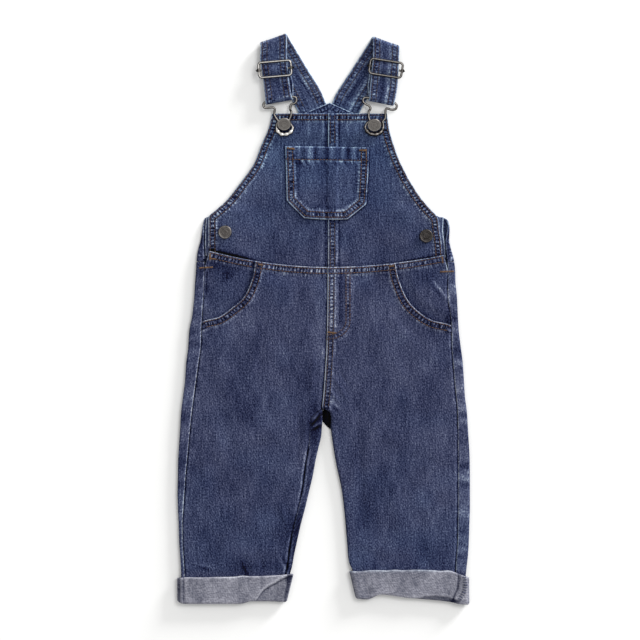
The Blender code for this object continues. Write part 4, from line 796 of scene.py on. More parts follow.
def sewn_relief(tree):
    """What the needle does to the cloth, from the hem's own coordinates: the fading and the height, in mm, of
    the beads between a hem's two rows, the groove under each row and the streaks that run out past it."""
    soft_step = {"interpolation_type": "SMOOTHSTEP"}
    hem = add_node(tree, "Attribute", output="Vector", attribute_name="hem")
    parts = add_node(tree, "SeparateXYZ", {0: hem}).node.outputs
    along_hem, place, strength = parts["X"], parts["Y"], parts["Z"]
    # beads come at every stitch or so: 3.6 mm, at a slant, and no two alike
    drift = add_node(tree, "TexNoise", {"W": along_hem, "Scale": 130.0, "Detail": 1.0}, noise_dimensions="1D")
    drift = add_node(tree, "Math", {0: drift, 1: 9.0}, operation="MULTIPLY")
    turn = add_node(tree, "Math", {0: along_hem, 1: math.tau / 0.0036, 2: drift}, operation="MULTIPLY_ADD")
    turn = add_node(tree, "Math", {0: place, 1: 1.3, 2: turn}, operation="MULTIPLY_ADD")
    bead = add_node(tree, "Math", {0: turn}, operation="SINE")
    bead = add_node(tree, "Math", {0: bead, 1: 0.85, 2: -1.35}, operation="MULTIPLY_ADD")
    spot = add_node(tree, "Mapping", {"Vector": hem, "Scale": (480.0, 2.2, 0.0)})
    spot = add_node(tree, "TexNoise", {"Vector": spot, "Scale": 1.0, "Detail": 1.5}, noise_dimensions="2D")
    bead = add_node(tree, "Math", {0: spot, 1: 2.9, 2: bead}, operation="MULTIPLY_ADD")
    first = add_node(tree, "MapRange", {0: place, 1: 0.02, 2: 0.3}, **soft_step)
    last = add_node(tree, "MapRange", {0: place, 1: 0.98, 2: 0.7}, **soft_step)
    for share in (first, last, strength):
        bead = add_node(tree, "Math", {0: bead, 1: share}, operation="MULTIPLY")
    # the thread draws the cloth in under both rows
    grooves = []
    for row in (0.0, 1.0):
        off = add_node(tree, "Math", {0: place, 1: row}, operation="SUBTRACT")
        off = add_node(tree, "Math", {0: off}, operation="ABSOLUTE")
        grooves.append(add_node(tree, "MapRange", {0: off, 1: 0.2, 2: 0.05}, **soft_step))
    groove = add_node(tree, "Math", {0: grooves[0], 1: grooves[1]}, operation="ADD")
    groove = add_node(tree, "Math", {0: groove, 1: strength}, operation="MULTIPLY")
    # rubbed streaks, 1 to 2 mm apart, run out of the second row into the plain cloth
    streak = add_node(tree, "Mapping", {"Vector": hem, "Scale": (620.0, 0.55, 0.0)})
    streak = add_node(tree, "TexNoise", {"Vector": streak, "Scale": 1.0, "Detail": 1.0},
                      noise_dimensions="2D")
    streak = add_node(tree, "Math", {0: streak, 1: 0.45}, operation="SUBTRACT")
    first = add_node(tree, "MapRange", {0: place, 1: 1.05, 2: 1.25}, **soft_step)
    last = add_node(tree, "MapRange", {0: place, 1: 2.5, 2: 1.2}, **soft_step)
    for share in (first, last, strength):
        streak = add_node(tree, "Math", {0: streak, 1: share}, operation="MULTIPLY")
    totals = []
    for bead_share, streak_share, groove_share in ((0.42, 1.2, -0.3), (0.16, 0.3, -0.16)):
        total = add_node(tree, "Math", {0: groove, 1: groove_share}, operation="MULTIPLY")
        total = add_node(tree, "Math", {0: streak, 1: streak_share, 2: total}, operation="MULTIPLY_ADD")
        totals.append(add_node(tree, "Math", {0: bead, 1: bead_share, 2: total}, operation="MULTIPLY_ADD"))
    return totals


def denim_cloth(name, steps, fleck, grain, roughness, sheen):
    """Indigo warp over white weft in a 3/1 twill, washed: the warp shows as short dark streaks along the
    cloth, the weft as pale flecks, and rubbed ridges go to pale blue. Matt, with a little cotton fuzz."""
    finish, tree = start_finish(name)
    weave = add_node(tree, "Attribute", output="Vector", attribute_name="weave")
    # the fading attribute holds each point's wear and the painted light and shade set on it
    tone = add_node(tree, "Attribute", output="Fac", attribute_name="fade_and_shade")
    blue = add_node(tree, "Attribute", output="Fac", attribute_name="blue")
    # warp slubs are 0.5 mm wide and 3 to 8 mm long, drawn about twice that so that they show at a step away
    slub = add_node(tree, "Mapping", {"Vector": weave, "Scale": (850.0, 55.0, 1.0)})
    slub = add_node(tree, "TexNoise", {"Vector": slub, "Scale": 1.0, "Detail": 2.0}, noise_dimensions="2D")
    # weft floats are 0.4 mm, drawn about 1.3 mm for the same reason
    floats = add_node(tree, "Mapping", {"Vector": weave, "Scale": (*grain, 1.0)})
    floats = add_node(tree, "TexNoise", {"Vector": floats, "Scale": 1.0, "Detail": 2.0, "Roughness": 0.6},
                      noise_dimensions="2D")
    # the twill line: four ends of 0.4 mm, so a wale every 1.1 mm across its slant, drawn at every 2.2 mm
    wale = add_node(tree, "Mapping", {"Vector": weave, "Rotation": (0.0, 0.0, math.radians(-28.0))})
    wale = add_node(tree, "TexWave", {"Vector": wale, "Scale": 145.0, "Distortion": 1.6, "Detail": 2.0,
                                      "Detail Scale": 3.0}, output="Fac")
    sewn_fade, sewn_height = sewn_relief(tree)
    # every pattern's middle is 0.5, so an unworn place falls at the ramp's middle
    parts = ((slub, 0.7 * fleck), (floats, 1.6 * fleck), (wale, 0.10 * fleck), (sewn_fade, 1.0))
    middle = 0.5 * sum(share for _, share in parts[:3])
    for pattern, share in parts:
        tone = add_node(tree, "Math", {0: pattern, 1: share, 2: tone}, operation="MULTIPLY_ADD")
    place = add_node(tree, "MapRange", {0: tone, 1: middle - 1.0, 2: middle + 1.0})
    colour = add_node(tree, "ValToRGB", {0: place}, steps=steps)
    # the dye keeps bluer where it was rubbed less
    colour = add_node(tree, "Mix", {0: blue, 6: colour, 7: (0.85, 1.12, 1.22, 1.0)}, output=2,
                      data_type="RGBA", blend_type="MULTIPLY")
    relief = add_node(tree, "Math", {0: floats, 1: 0.14, 2: sewn_height}, operation="MULTIPLY_ADD")
    relief = add_node(tree, "Math", {0: wale, 1: 0.05, 2: relief}, operation="MULTIPLY_ADD")
    bump = add_node(tree, "Bump", {"Height": relief, "Strength": 1.0, "Distance": MM})
    end_finish(tree, Base_Color=colour, Roughness=roughness, Specular_IOR_Level=0.1, Sheen_Weight=sheen,
               Sheen_Roughness=0.5, Normal=bump)
    return finish


def spun_thread(name, light, dark):
    """Polyester-cored cotton topstitching thread, spun in three plies: warm, faintly glossy, rubbed darker
    and lighter along its length by the wash."""
    finish, tree = start_finish(name)
    where = add_node(tree, "TexCoord", output="Object")
    # rubbed patches are 1 to 2 mm long, about half a stitch
    patch = add_node(tree, "TexNoise", {"Vector": where, "Scale": 420.0, "Detail": 3.0})
    colour = add_node(tree, "ValToRGB", {0: patch}, steps=((0.34, dark), (0.62, light)))
    # plies turn once in about 1 mm, drawn up to twice as long so that they show
    ply = add_node(tree, "TexWave", {"Vector": where, "Scale": 300.0, "Distortion": 3.0},
                   output="Fac", bands_direction="DIAGONAL")
    bump = add_node(tree, "Bump", {"Height": ply, "Strength": 0.4, "Distance": 0.0001})
    end_finish(tree, Base_Color=colour, Roughness=0.6, Specular_IOR_Level=0.25, Sheen_Weight=0.05,
               Normal=bump)
    return finish


def antique_nickel():
    """Zinc and steel plated with nickel, oxidised and then brushed off the high places: brown-grey in the
    hollows, pale and satin on rims that rub, with a painted highlight along the tops of wires."""
    finish, tree = start_finish("antique_nickel_plate")
    where = add_node(tree, "TexCoord", output="Object")
    rubbed = add_node(tree, "Attribute", output="Fac", attribute_name="rubbed")
    # stains in the oxide are 1 to 2 mm across
    stain = add_node(tree, "TexNoise", {"Vector": where, "Scale": 520.0, "Detail": 4.0, "Roughness": 0.65})
    tone = add_node(tree, "Math", {0: stain, 1: 0.45, 2: rubbed}, operation="MULTIPLY_ADD")
    colour = add_node(tree, "ValToRGB", {0: tone}, steps=(
        (0.10, "#1b1919"), (0.42, "#54504e"), (0.7, "#8c8884"), (1.0, "#dcdad6")))
    gloss = add_node(tree, "MapRange", {0: stain, 1: 0.3, 2: 0.7, 3: 0.34, 4: 0.54})
    bump = add_node(tree, "Bump", {"Height": stain, "Strength": 0.25, "Distance": 0.0001})
    end_finish(tree, Base_Color=colour, Metallic=1.0, Roughness=gloss, Normal=bump)
    return finish


DENIM_STEPS = ((0.0, "#000000"), (0.22, "#000020"), (0.36, "#19203b"), (0.5, "#30354f"),
               (0.64, "#454a63"), (0.78, "#5f657b"), (1.0, "#9a9faa"))
BACK_STEPS = ((0.0, "#121529"), (0.25, "#444654"), (0.42, "#60616d"), (0.5, "#6e6f7a"),
              (0.6, "#7e7e89"), (0.8, "#9d9ea7"), (1.0, "#bdbec3"))
denim = denim_cloth("washed_indigo_twill", DENIM_STEPS, 1.04, (700.0, 600.0), 0.9, 0.03)
wrong_side = denim_cloth("twill_wrong_side", BACK_STEPS, 0.75, (280.0, 800.0), 0.92, 0.03)
rust_thread = spun_thread("rust_topstitch_thread", "#5e4637", "#352825")
brown_thread = spun_thread("brown_topstitch_thread", "#473833", "#2a2224")
copper_thread = spun_thread("copper_topstitch_thread", "#6f5233", "#483424")
indigo_thread = spun_thread("indigo_overlock_thread", "#373d58", "#20243a")
nickel = antique_nickel()


def hem(line, x, y, seed, rows=TWIN, band=HEM_BAND, rope=0.26, pale=0.75, step=HEM_RISE):
    return hem_form(*along(line, x, y), rows, band, seed, rope, pale, step)


def plain_seam(line, x, y, seed, deep=0.45, dark=0.55, pale=0):
    """The side of a seam that the cloth dips into: a dark groove, with puckers fading out over 8 mm."""
    s, d = along(line, x, y)
    pull = ease(8, 0, d)
    pucker = wander(s / 4.3, seed) * pull
    height = -deep * ease(2.4, 0, d) + 0.16 * pucker
    fade_and_shade = -dark * hill(d, 0, 0.95) + pale * hill(d, 2.1, 1) + 0.16 * pucker
    return height, fade_and_shade


def dipped(form, *dips):
    """A hem's form with dips added to its height and to its fading and painted shade."""
    return form[0] + sum(dip[0] for dip in dips), form[1] + sum(dip[1] for dip in dips), form[2]


def bib_hollow_and_shade(x, y):
    """The bib dipping along the trousers' top edge, with a painted shadow line there, deepest where that
    gapes at the left.
    """
    d = y - waist(x)
    left = ease(-66, -88, x)
    ends = np.maximum(ease(-56, -80, x), ease(70, 92, x))
    # dark is the painted shadow line along the trousers' top edge
    dark = hill(d, 0.6 + 0.5 * left, 1.1 + 0.5 * left) * (0.2 + 0.45 * ends + 0.6 * left)
    height = -0.3 * hill(d, 0, 2) * (0.3 + 0.3 * ends + 0.6 * left)
    return height, -1.1 * dark - 0.15 * ends * hill(d, 2, 4)


def inseam_gape(y):
    """Where the left inseam stands open, from 0 to 1."""
    return ease(-126, -136, y) * ease(-184, -172, y) + ease(-212, -222, y)


def waist_line(first=-113.6, last=120.3):
    xs = np.linspace(first, last, 80)
    return pairs(xs, waist(xs))


def toned(form, amount):
    """A hem's form with its band paler or darker."""
    place = form[2][1]
    return form[0], form[1] + amount * ease(-0.2, 0, place) * ease(1.2, 1, place), form[2]


def waist_hem(x, y, rope=0.38, pale=1.1, tone=0.14):
    return toned(hem(waist_line(), x, y, 31, rows=WAIST_ROWS, rope=rope, pale=pale), tone)


def fly_line(across, down):
    """One row of the mock fly: straight down from the waist, then round to the centre seam."""
    turns = np.radians(np.arange(0, 97, 6))
    turn_x, turn_y = SEAM_X + across * np.cos(turns), FLY_TURN - down * np.sin(turns)
    return [(SEAM_X + across, 52.5)] + pairs(turn_x, turn_y)


BIB_LEFT_SIDE = edge(BIB_LEFT, False)
BIB_RIGHT_SIDE = edge(BIB_RIGHT, True)
BIB_TOP = [BIB_LEFT_SIDE[0], BIB_RIGHT_SIDE[0]]
BIB_CENTRE = [(5, 205.5), (5, 45.9)]
MOUTH_LEFT = edge(FRONT_LEFT, False, 0, 6)
MOUTH_RIGHT = edge(FRONT_RIGHT, True, 0, 6)
SIDE_LEFT = edge(FRONT_LEFT, False, 6, None)
SIDE_RIGHT = edge(FRONT_RIGHT, True, 6, None)
CENTRE_SEAM = edge(FRONT_RIGHT, False, 0, 10)
INSEAM = edge(FRONT_LEFT, True, 11, None)


def pocket_shadow(x, y):
    """The painted shadow on the bib along the pocket's edge: a dark line."""
    return 0, -0.45 * hill(along(POCKET_SIDES, x, y)[1], 0.9, 0.8)


def cut_bib(half, table, side, seed):
    """One half of the bib. The right one's centre edge is felled over the left one's."""
    x, y = panel_points(table, bottom=lambda x: waist(x) - WAIST_LAP)
    hems = [hem(BIB_TOP, x, y, 11, rope=0.34), hem(side, x, y, seed, rope=0.38)]
    if half == "left":
        # a painted shadow beside the edge of the right half's felled seam, which laps over this half
        beside_seam = (0, -0.5 * hill(x, 2.7, 0.9) + 0.15 * hill(x, -1.2, 1.3))
        dips = [plain_seam(BIB_CENTRE, x, y, 15, deep=0.1, dark=0.4)]
    else:
        hems.append(hem(BIB_CENTRE, x, y, 19, rows=FELL_ROWS, band=FELL_BAND, pale=1.8))
        # a pale edge and then a painted shadow just past the felled seam's band
        beside_seam = (0, 0.1 * hill(x, 4.6 + FELL_BAND, 0.8) - 0.5 * hill(x, 7.3 + FELL_BAND, 0.9))
        dips = []
    form = dipped(joined(*hems), bib_hollow_and_shade(x, y), beside_seam, pocket_shadow(x, y), *dips)
    piece = flat_piece(f"denim_bib_{half}", (x, y), bib_low(x, y), form)
    dress(f"bib_{half}")


def pocket_points():
    end = len(POCKET) - 1
    lx, ly, rx, ry = [lambda v, side=side: np.interp(v, range(end + 1), side) for side in zip(*POCKET)]
    v = evenly(lambda v: (lx(v), ly(v)), end, FINE)[:, None]
    u = with_rim(75, POCKET_WIDE)[None, :]
    belly = 0.9 * (1 - (2 * u - 1) ** 2) * np.clip(v - 6, 0, 1)
    return grid(lx(v) + (rx(v) - lx(v)) * u, ly(v) + (ry(v) - ly(v)) * u - belly)


def pocket_outline():
    """The pocket's sewn sides, from its top left corner round to its top right one."""
    x, y = pocket_points()
    runs = (np.s_[::4, 0], np.s_[-1, 1:-1:5], np.s_[::-4, -1])
    return sum([pairs(x[run], y[run]) for run in runs], [])


POCKET_SIDES = pocket_outline()
POCKET_TOP = [POCKET[0][:2], POCKET[0][2:]]


def cut_pocket():
    x, y = pocket_points()
    seam = HEM_RISE * ease(3.6, 5.4, x) * ease(15, 13.2, x)
    s, d = along(POCKET_TOP, x, y)
    band = ease(POCKET_HEM + 0.6, POCKET_HEM - 0.6, d)
    wave = wander(s / 5.2 + 0.3, 23) * 0.8 + wander(s / 2.3, 24) * 0.4
    pulls = ease(POCKET_HEM, POCKET_HEM + 1, d) * ease(POCKET_HEM + 9, POCKET_HEM + 1, d)
    slant = wander((s - 0.55 * d) / 1.5, 25) * pulls
    top_height = HEM_RISE * band + 0.4 * wave * band + 0.22 * slant - 0.2 * hill(d, POCKET_HEM, 0.6)
    round_pocket, inner = along(POCKET_SIDES, x, y)
    plain = ease(6.6, 8, inner)
    top_fade_and_shade = 0.6 * hill(d, 0, 0.7) + (0.3 * wave + 0.26 * np.sin(s / 1.75)) * band * plain + 0.7 * slant
    # a painted shadow line under the top hem's lower edge
    top_fade_and_shade = top_fade_and_shade + 0.7 * hill(d, POCKET_HEM + 1.4, 0.7) * plain - 0.35 * hill(d, POCKET_HEM, 0.8)
    top_fade_and_shade = top_fade_and_shade - 0.22 * hill(x, 3.6, 1) + 0.16 * hill(x, 14.5, 1.2) + 0.04
    top_fade_and_shade = top_fade_and_shade - 0.1 * hill(x, 4, 14) * hill(y, 136, 20) - 0.26 * hill(inner, 12.2, 1.8) * (1 - band)
    blot = np.maximum(0, wander(round_pocket / 2.6, 28) + 0.2) * hill(inner, 11.5, 2.4)
    top_fade_and_shade = top_fade_and_shade + (0.22 * wander(x / 5, 26) + 0.5 * blot) * ease(118, 108, y)
    sides = hem(POCKET_SIDES, x, y, 27, rows=POCKET_ROWS, band=8, rope=0.3, pale=1.5)
    top_fade_and_shade = top_fade_and_shade - 0.5 * hill(inner, 0.2, 1) * ease(40, 44, x)
    form = dipped(sides, (0, top_fade_and_shade))
    height = np.maximum(form[0], top_height)
    under = bib_low(x, y) + LAYER + seam
    pocket = flat_piece("denim_bib_pocket", (x, y), under, (height, form[1], form[2]))
    dress("bib_pocket")


def cut_front_left():
    x, y = panel_points(FRONT_LEFT, top=waist)
    d = along(INSEAM, x, y)[1]
    gape = inseam_gape(y)
    # where the inseam stands open, the dark line in it is painted shade in the gap
    gape_and_shade = (-0.5 * ease(1.8, 0, d) * gape, (0.4 * hill(d, 2.2, 0.8) - 0.9 * hill(d, 0, 0.9)) * gape)
    base = joined(waist_hem(x, y), toned(hem(MOUTH_LEFT, x, y, 33, rope=0.3, pale=0.95), -0.16))
    lower = 0.15 + 0.85 * ease(-122, -132, y)
    inseam = [part * lower for part in plain_seam(INSEAM, x, y, 37, pale=0.2)]
    beside_seam = (0, 0.28 * hill(along(CENTRE_SEAM, x, y)[1], 3.6, 1.1) * ease(-20, -32, y))
    form = dipped(base, plain_seam(SIDE_LEFT, x, y, 35, pale=0.15), gape_and_shade, inseam, beside_seam,
                  plain_seam(CENTRE_SEAM, x, y, 36, deep=0.2, dark=1, pale=0.1))
    piece = flat_piece("denim_front_left", (x, y), front_low(x, y), form)
    dress("front_left")


def fly_form(x, y):
    """The mock fly: a doubled facing that shows as a step at its curved outer row."""
    s, d = along(fly_line(*FLY_OUTER), x, y)
    low = np.clip((FLY_TURN - y) / (FLY_OUTER[1] + 0.6), 0, 1)
    within = x - SEAM_X < (FLY_OUTER[0] + 0.6) * np.sqrt(1 - low ** 2)
    inside = np.where(within & (low < 1), 1, 0) * ease(-0.2, 0.9, d + np.where(within, 0.6, 0))
    gauge = FLY_OUTER[0] - FLY_INNER[0]
    pucker = wander(s / 5, 42) * hill(d, gauge / 2, 2.2) * inside
    height = HEM_RISE * inside + 0.14 * pucker
    pale = ease(3.6, 5, x) * ease(16.6, 13.6, x) * ease(-13, -6, y) * ease(50, 38, y)
    ladder = hill(x, 8.6, 1.6) * np.sin(2 * math.pi * y / 4.2 + 1.5 * wander(y / 9, 44))
    # shade is the pale worn band with its ladder, and a painted shadow line past it at x 17.4
    shade = (0.26 + 0.3 * ladder) * pale - 0.34 * hill(x, 17.4, 1.8) * ease(-8, 2, y)
    past = 0.15 * hill(d, 2.6, 1.6) * (1 - inside) * ease(-24, -20, y)
    place = 1 + np.where(inside > 0, -d, d) / gauge
    return height, 0.2 * pucker + shade * inside + past, (s, place, 0.8 * ease(-24, -20, y))


def turned_side(x_out, way, radius, turn, reach, arc_parts=9, flat_parts=9):
    """Section of cloth that turns up at a side: (x, height, across, up) from the fold's foot to its edge,
    where across and up is the direction out of the cloth."""
    x_out, radius, turn, reach = float(x_out), float(radius), float(turn), float(reach)
    a = math.radians(turn)
    arc = radius * a
    if turn >= 90:
        span = radius + HALF
    else:
        span = radius * math.sin(a) + (reach - arc) * math.cos(a) + HALF * math.sin(a)
    foot = x_out - way * span
    first = arc if turn >= 179 else max(arc, 0.5 * reach)
    runs = [first * k / arc_parts for k in range(arc_parts + 1)]
    runs += [first + (reach - first) * k / flat_parts for k in range(1, flat_parts + 1)]
    points = []
    for run in runs:
        angle = min(run / radius, a)
        past = max(0, run - arc)
        dx = radius * math.sin(angle) + past * math.cos(a)
        dz = radius * (1 - math.cos(angle)) + past * math.sin(a)
        points.append((foot + way * dx, dz, way * math.sin(angle), -math.cos(angle)))
    return points


def flat_between(left, right, parts):
    """Section of cloth that lies flat between two turned sides."""
    first, last = left[0][0], right[0][0]
    flat = [(first + (last - first) * k / parts, 0, 0, -1) for k in range(1, parts)]
    return left[::-1] + flat + right


def run_across(x, z):
    """The length of cloth run across each section, up to each point."""
    return np.cumsum(np.hypot(*[np.diff(part, axis=1, prepend=part[:, :1]) for part in (x, z)]), 1)


def both_faces(x, y, middle, across, up, proud, deep=HALF):
    """The two faces of a turned layer about its middle: the first stands proud of it, towards across and up,
    and the second lies deep on the other side."""
    return [np.stack([x + across * off, y, middle + up * off], -1) for off in (proud, -deep)]


def wrapped_side(out, seam_x, way, radius):
    """A side that turns right over and ends at the seam on top."""
    reach = math.pi * radius + max(0.6, float(way * (out - seam_x)) - GAP / 2 - radius - HALF)
    return turned_side(out, way, radius, 180, reach)


def cut_front_right():
    """The right front, whose inner edge turns down below the crotch as the leg's inner fold."""
    lx, ly, rx, ry = columns(FRONT_RIGHT)
    rows = evenly(lambda v: ((lx(v) + rx(v)) / 2, (ly(v) + ry(v)) / 2), len(FRONT_RIGHT) - 1, FINE)
    blend = np.clip(1 - rows / CURVE_FADE, 0, 1) ** 2
    sections = []
    for v, share in zip(rows, blend):
        y_edge = float(ly(v) + share * (waist(lx(v)) - ly(0)))
        turn = 90.0 * ease(-88.4, -96.5, y_edge)
        drop = float(leg_top(30, y_edge) - soft(30, y_edge) - lift(y_edge, 1)) - LAYER - 0.6
        radius = min(LEG_FOLD, drop)
        reach = math.pi / 2 * radius + max(0, drop - radius) if turn > 0 else 3.0
        side = turned_side(lx(v), -1, radius, turn, reach, 6, 2)[::-1]
        flat = np.linspace(side[-1][0], rx(v), 118)[1:]
        flat = [*flat[:-1], flat[-1] - EDGE_RING, flat[-1]]
        sections.append([(x, -dz, a, -b) for x, dz, a, b in side] + [(x, 0, 0, 1) for x in flat])
    x, fall, across, up = np.moveaxis(np.array(sections), -1, 0)
    rows, blend = rows[:, None], blend[:, None]
    u = np.maximum((x - lx(rows)) / (rx(rows) - lx(rows)), 0)
    y = ly(rows) + (ry(rows) - ly(rows)) * u + blend * (waist(x) - ly(0) - (ry(0) - ly(0)) * u)
    flat_part = ease(0.3, 1, up)
    s, d = along(CENTRE_SEAM, x, y)
    seam = toned(hem_form(s, d, CENTRE_ROWS, 6.9, 43, 0.24, 2.3), 0.02 + 0.14 * ease(-26, -18, y))
    rows_fade = -0.3 * sum(hill(d, row, wide) for row, wide in zip(CENTRE_ROWS, (0.7, 0.8)))
    seam = dipped(seam, (0, 0.45 * hill(d, 0.7, 0.6) * ease(-18, -30, y) + rows_fade))
    above = ease(-93, -88, y)
    hems = [(seam, above), (fly_form(x, y), above), (waist_hem(x, y), 1),
            (toned(hem(MOUTH_RIGHT, x, y, 45, rope=0.3, pale=0.95), -0.16), 1)]
    height, fade_and_shade, sewn = joined(*[(high * share, worn_and_painted_light * share, (run, place, strength * share))
                                  for (high, worn_and_painted_light, (run, place, strength)), share in hems])
    side = plain_seam(SIDE_RIGHT, x, y, 47, dark=0.75, pale=0.2)
    # the side that turns down is drawn darker: painted shade
    fade_and_shade = fade_and_shade + side[1] - 0.25 * (1 - flat_part) + wash_and_painted_light(x, y)
    middle = front_low(np.maximum(x, x[:, 8:9]), y) + HALF + drape(x, y) * flat_part + fall
    faces = both_faces(x, y, middle, across, up, HALF + (height + side[0]) * flat_part)
    piece = shell("denim_front_right", *faces, np.stack([x, y], -1), fade_and_shade, denim, sewn)
    dress("front_right")


def cut_facing(half, way, mouth, corner, side_top, seam, seed):
    """A pocket facing between the waist, the side seam and a line set in from the pocket mouth."""
    line = []
    for (x, y), (ax, ay), (bx, by) in zip(mouth, mouth[:1] + mouth, mouth[1:] + mouth[-1:]):
        reach = FACING_LAP / math.hypot(bx - ax, by - ay)
        line.append((x - way * abs(by - ay) * reach, y - abs(bx - ax) * reach))
    line[0] = (line[0][0], float(waist(line[0][0])))
    line[-1] = (float(seam(line[-1][1])) - way * GAP / 2, line[-1][1])
    u = with_rim(64, FACING_WIDE)[:, None]
    t = u.T
    waist_x = corner[0] + (line[0][0] - corner[0]) * t
    side_y = side_top[1] + (line[-1][1] - side_top[1]) * t
    side_x = seam(side_y) - way * GAP / 2
    edges = zip(columns(line), line[0], line[-1], (waist_x, waist(waist_x)), (side_x, side_y))
    x, y = [t * (inner(u * (len(line) - 1)) - (1 - u) * first - u * last) + (1 - u) * upper + u * outer
            for inner, first, last, upper, outer in edges]
    side_line = pairs(side_x[0, ::3], side_y[0, ::3])
    end = hem([corner, side_top], x, y, seed + 1, rows=(), band=2.2, rope=0.1, pale=0.7)
    loose = ease(22, 27, y) * ease(50, 46, y) * (1.0 if way < 0 else 0.4)
    crease = along(side_line, x, y)[1]
    # shade darkens the facing along the pocket mouth: deeper indigo and a painted shadow under the front's
    # edge
    shade = (0, -0.3 * ease(5, 0, along(mouth, x, y)[1])
             + loose * (0.5 * hill(crease, 0.6, 0.8) - 0.7 * hill(crease, 2.6, 0.9)) + 0.02 * (1 + way))
    form = dipped(joined(waist_hem(x, y, 0.3, 0.85, 0.05), end),
                  plain_seam(side_line, x, y, seed + 2, deep=0.3, dark=0.5, pale=0.3), shade)
    piece = flat_piece(f"denim_pocket_facing_{half}", (x, y), facing_low(x, y, mouth), form)
    dress(f"facing_{half}")


def cut_placket(half, table):
    """A button extension, flat under the bib's side."""
    outer, inner = by_y(table)
    y = np.linspace(table[0][0], table[-1][0], 34)[:, None]
    u = with_rim(24, STAND_WIDE)[None, :]
    x, y = grid(outer(y) + (inner(y) - outer(y)) * u, y)
    form = hem(pairs(x[:, 0], y[:, 0]), x, y, 51, rows=(), band=3, rope=0.15, pale=1.5, step=0.15)
    top = np.stack([x, y, LAYER + WALL + form[0]], -1)
    low = np.stack([x, y, np.full(x.shape, LAYER)], -1)
    fade_and_shade = form[1] + wash_and_painted_light(x, y) + 0.05
    piece = shell(f"denim_button_stand_{half}", top, low, np.stack([x, y], -1), fade_and_shade, denim, form[2])
    dress(f"placket_{half}")


def strip_form(x, y, seam, way, seed, spots):
    """The back panel's strip on top of a leg: a pale ridge along the seam and puckers beside it."""
    d = way * (x - seam)
    near = hill(d, 0, 0.8)
    spot = 0.65 * wander(y / 6.4, seed) + 0.35 * wander(y / 2.6 + 0.2 * d, seed + 1)
    fade_and_shade = 0.85 * near * (0.9 + 0.4 * wander(y / 2.1, seed + 2)) + spots * spot * (1 - near)
    return 0.14 * spot * ease(0, 2.5, d), fade_and_shade + 0.15


def cut_back(half, way, fold, seam, spots, seed):
    """A trouser back: flat on the table, turned up at its sides and on to the seams on top."""
    sections = []
    for y in np.linspace(BACK_TOP, LEG_END, int((BACK_TOP - LEG_END) / FINE)).tolist():
        base = HALF + float(lift(y, way))
        radius = (float(leg_top(0, y) - soft(0, y) * ease(-250, -236, y)) - base) / 2
        outer_side = wrapped_side(fold(y), seam(y), way, radius)
        if way > 0:
            start = right_back_crotch(y) if y > -110 else right_inner_fold(y) + 0.4
            inner_side = [(float(start), 0, 0, -1)]
        elif y > -94:
            place, turn, reach = (curve(y) for curve in left_back_crotch)
            inner_side = turned_side(place, 1, radius, turn, reach)
        else:
            inner_side = wrapped_side(left_inner_fold(y), left_inseam(y), 1, radius)
        left, right = (outer_side, inner_side)[::-way]
        sections.append([(x, y, base, dz, a, b) for x, dz, a, b in flat_between(left, right, 26)])
    x, y, base, dz, across, up = np.moveaxis(np.array(sections), -1, 0)
    middle = base + dz + 0.5 * (1 + up) * (leg_top(x, y) - base - dz)
    facing_up = ease(0.2, 0.95, up)
    height, fade_and_shade = strip_form(x, y, seam(y), way, seed, spots)
    if way < 0:
        inside = x > -60
        other = strip_form(x, y, left_inseam(y), 1, seed + 5, 0.1)
        d = x - left_inseam(y)
        # dark is painted shade in the open inseam, beside a pale edge
        dark = (0.55 * hill(d, 2, 0.8) - 0.9 * hill(d, 0, 0.7)) * inseam_gape(y)
        height, fade_and_shade = np.where(inside, other[0], height), np.where(inside, other[1] + dark - 0.27, fade_and_shade)
    fade_and_shade = fade_and_shade * facing_up + wash_and_painted_light(x, y) - 0.08
    # painted shade: the inside of the back, seen through the crotch, drawn dark
    fade_and_shade = fade_and_shade - 0.9 * np.where((up < 0) & (x > -16) & (x < 14), 1, 0) * ease(-70, -86, y)
    middle = middle + drape(x, y) * facing_up
    faces = both_faces(x, y, middle, across, up, HALF + height * facing_up)
    weave = np.stack([run_across(x, middle), y], -1)
    piece = shell(f"denim_back_{half}", *faces, weave, fade_and_shade, denim)
    dress(f"back_{half}")


def cut_back_bib():
    """The back bodice: flat on the table, with a peak between the straps and folded sides beside the bib."""
    lx, ly, rx, ry, *folded = columns(BACK_BIB)
    rows = evenly(lambda v: (0.5 * (lx(v) - rx(v)), ly(v)), len(BACK_BIB) - 1, FINE)
    sections = []
    for v in rows:
        left = turned_side(lx(v), -1, *[fold(v) for fold in folded[:3]], 7, 5)
        right = turned_side(rx(v), 1, *[fold(v) for fold in folded[3:]], 7, 5)
        sections.append(flat_between(left, right, 110))
    x, dz, across, up = np.moveaxis(np.array(sections), -1, 0)
    v = rows[:, None]
    y = ly(v) + (ry(v) - ly(v)) * (x - lx(v)) / (rx(v) - lx(v))
    y = y + PEAK_RISE * np.maximum(0, 1 - abs(x - PEAK[0]) / PEAK_HALF) * ease(3, 0, v)
    middle = HALF + back_low(y) + dz
    outline = [BACK_BIB[0][:2], PEAK, BACK_BIB[0][2:4]]
    peak = hem(outline, x, y, 61, rows=PEAK_ROWS, rope=0.28, pale=1.4)
    sides = joined(*[hem(pairs(x[::5, end], y[::5, end]), x, y, seed, rope=0.2, step=0.2, pale=0.7)
                     for end, seed in ((0, 63), (-1, 65))])
    sewn = joined(peak, sides)[2]
    rubbed = 0.35 * hill(up, 0, 0.5) * np.where(y < 100, 1, 0)
    shown = np.where(up < 0, peak[0] + sides[0], 0)
    faces = both_faces(x, y, middle, -across, -up, HALF + 0.4 * shown)
    fade_and_shade = peak[1] + sides[1] + rubbed + wash_and_painted_light(x, y) - 0.05
    piece = shell("denim_back_bodice", *faces, np.stack([x, y], -1), fade_and_shade, denim, sewn)
    dress("back_bib")


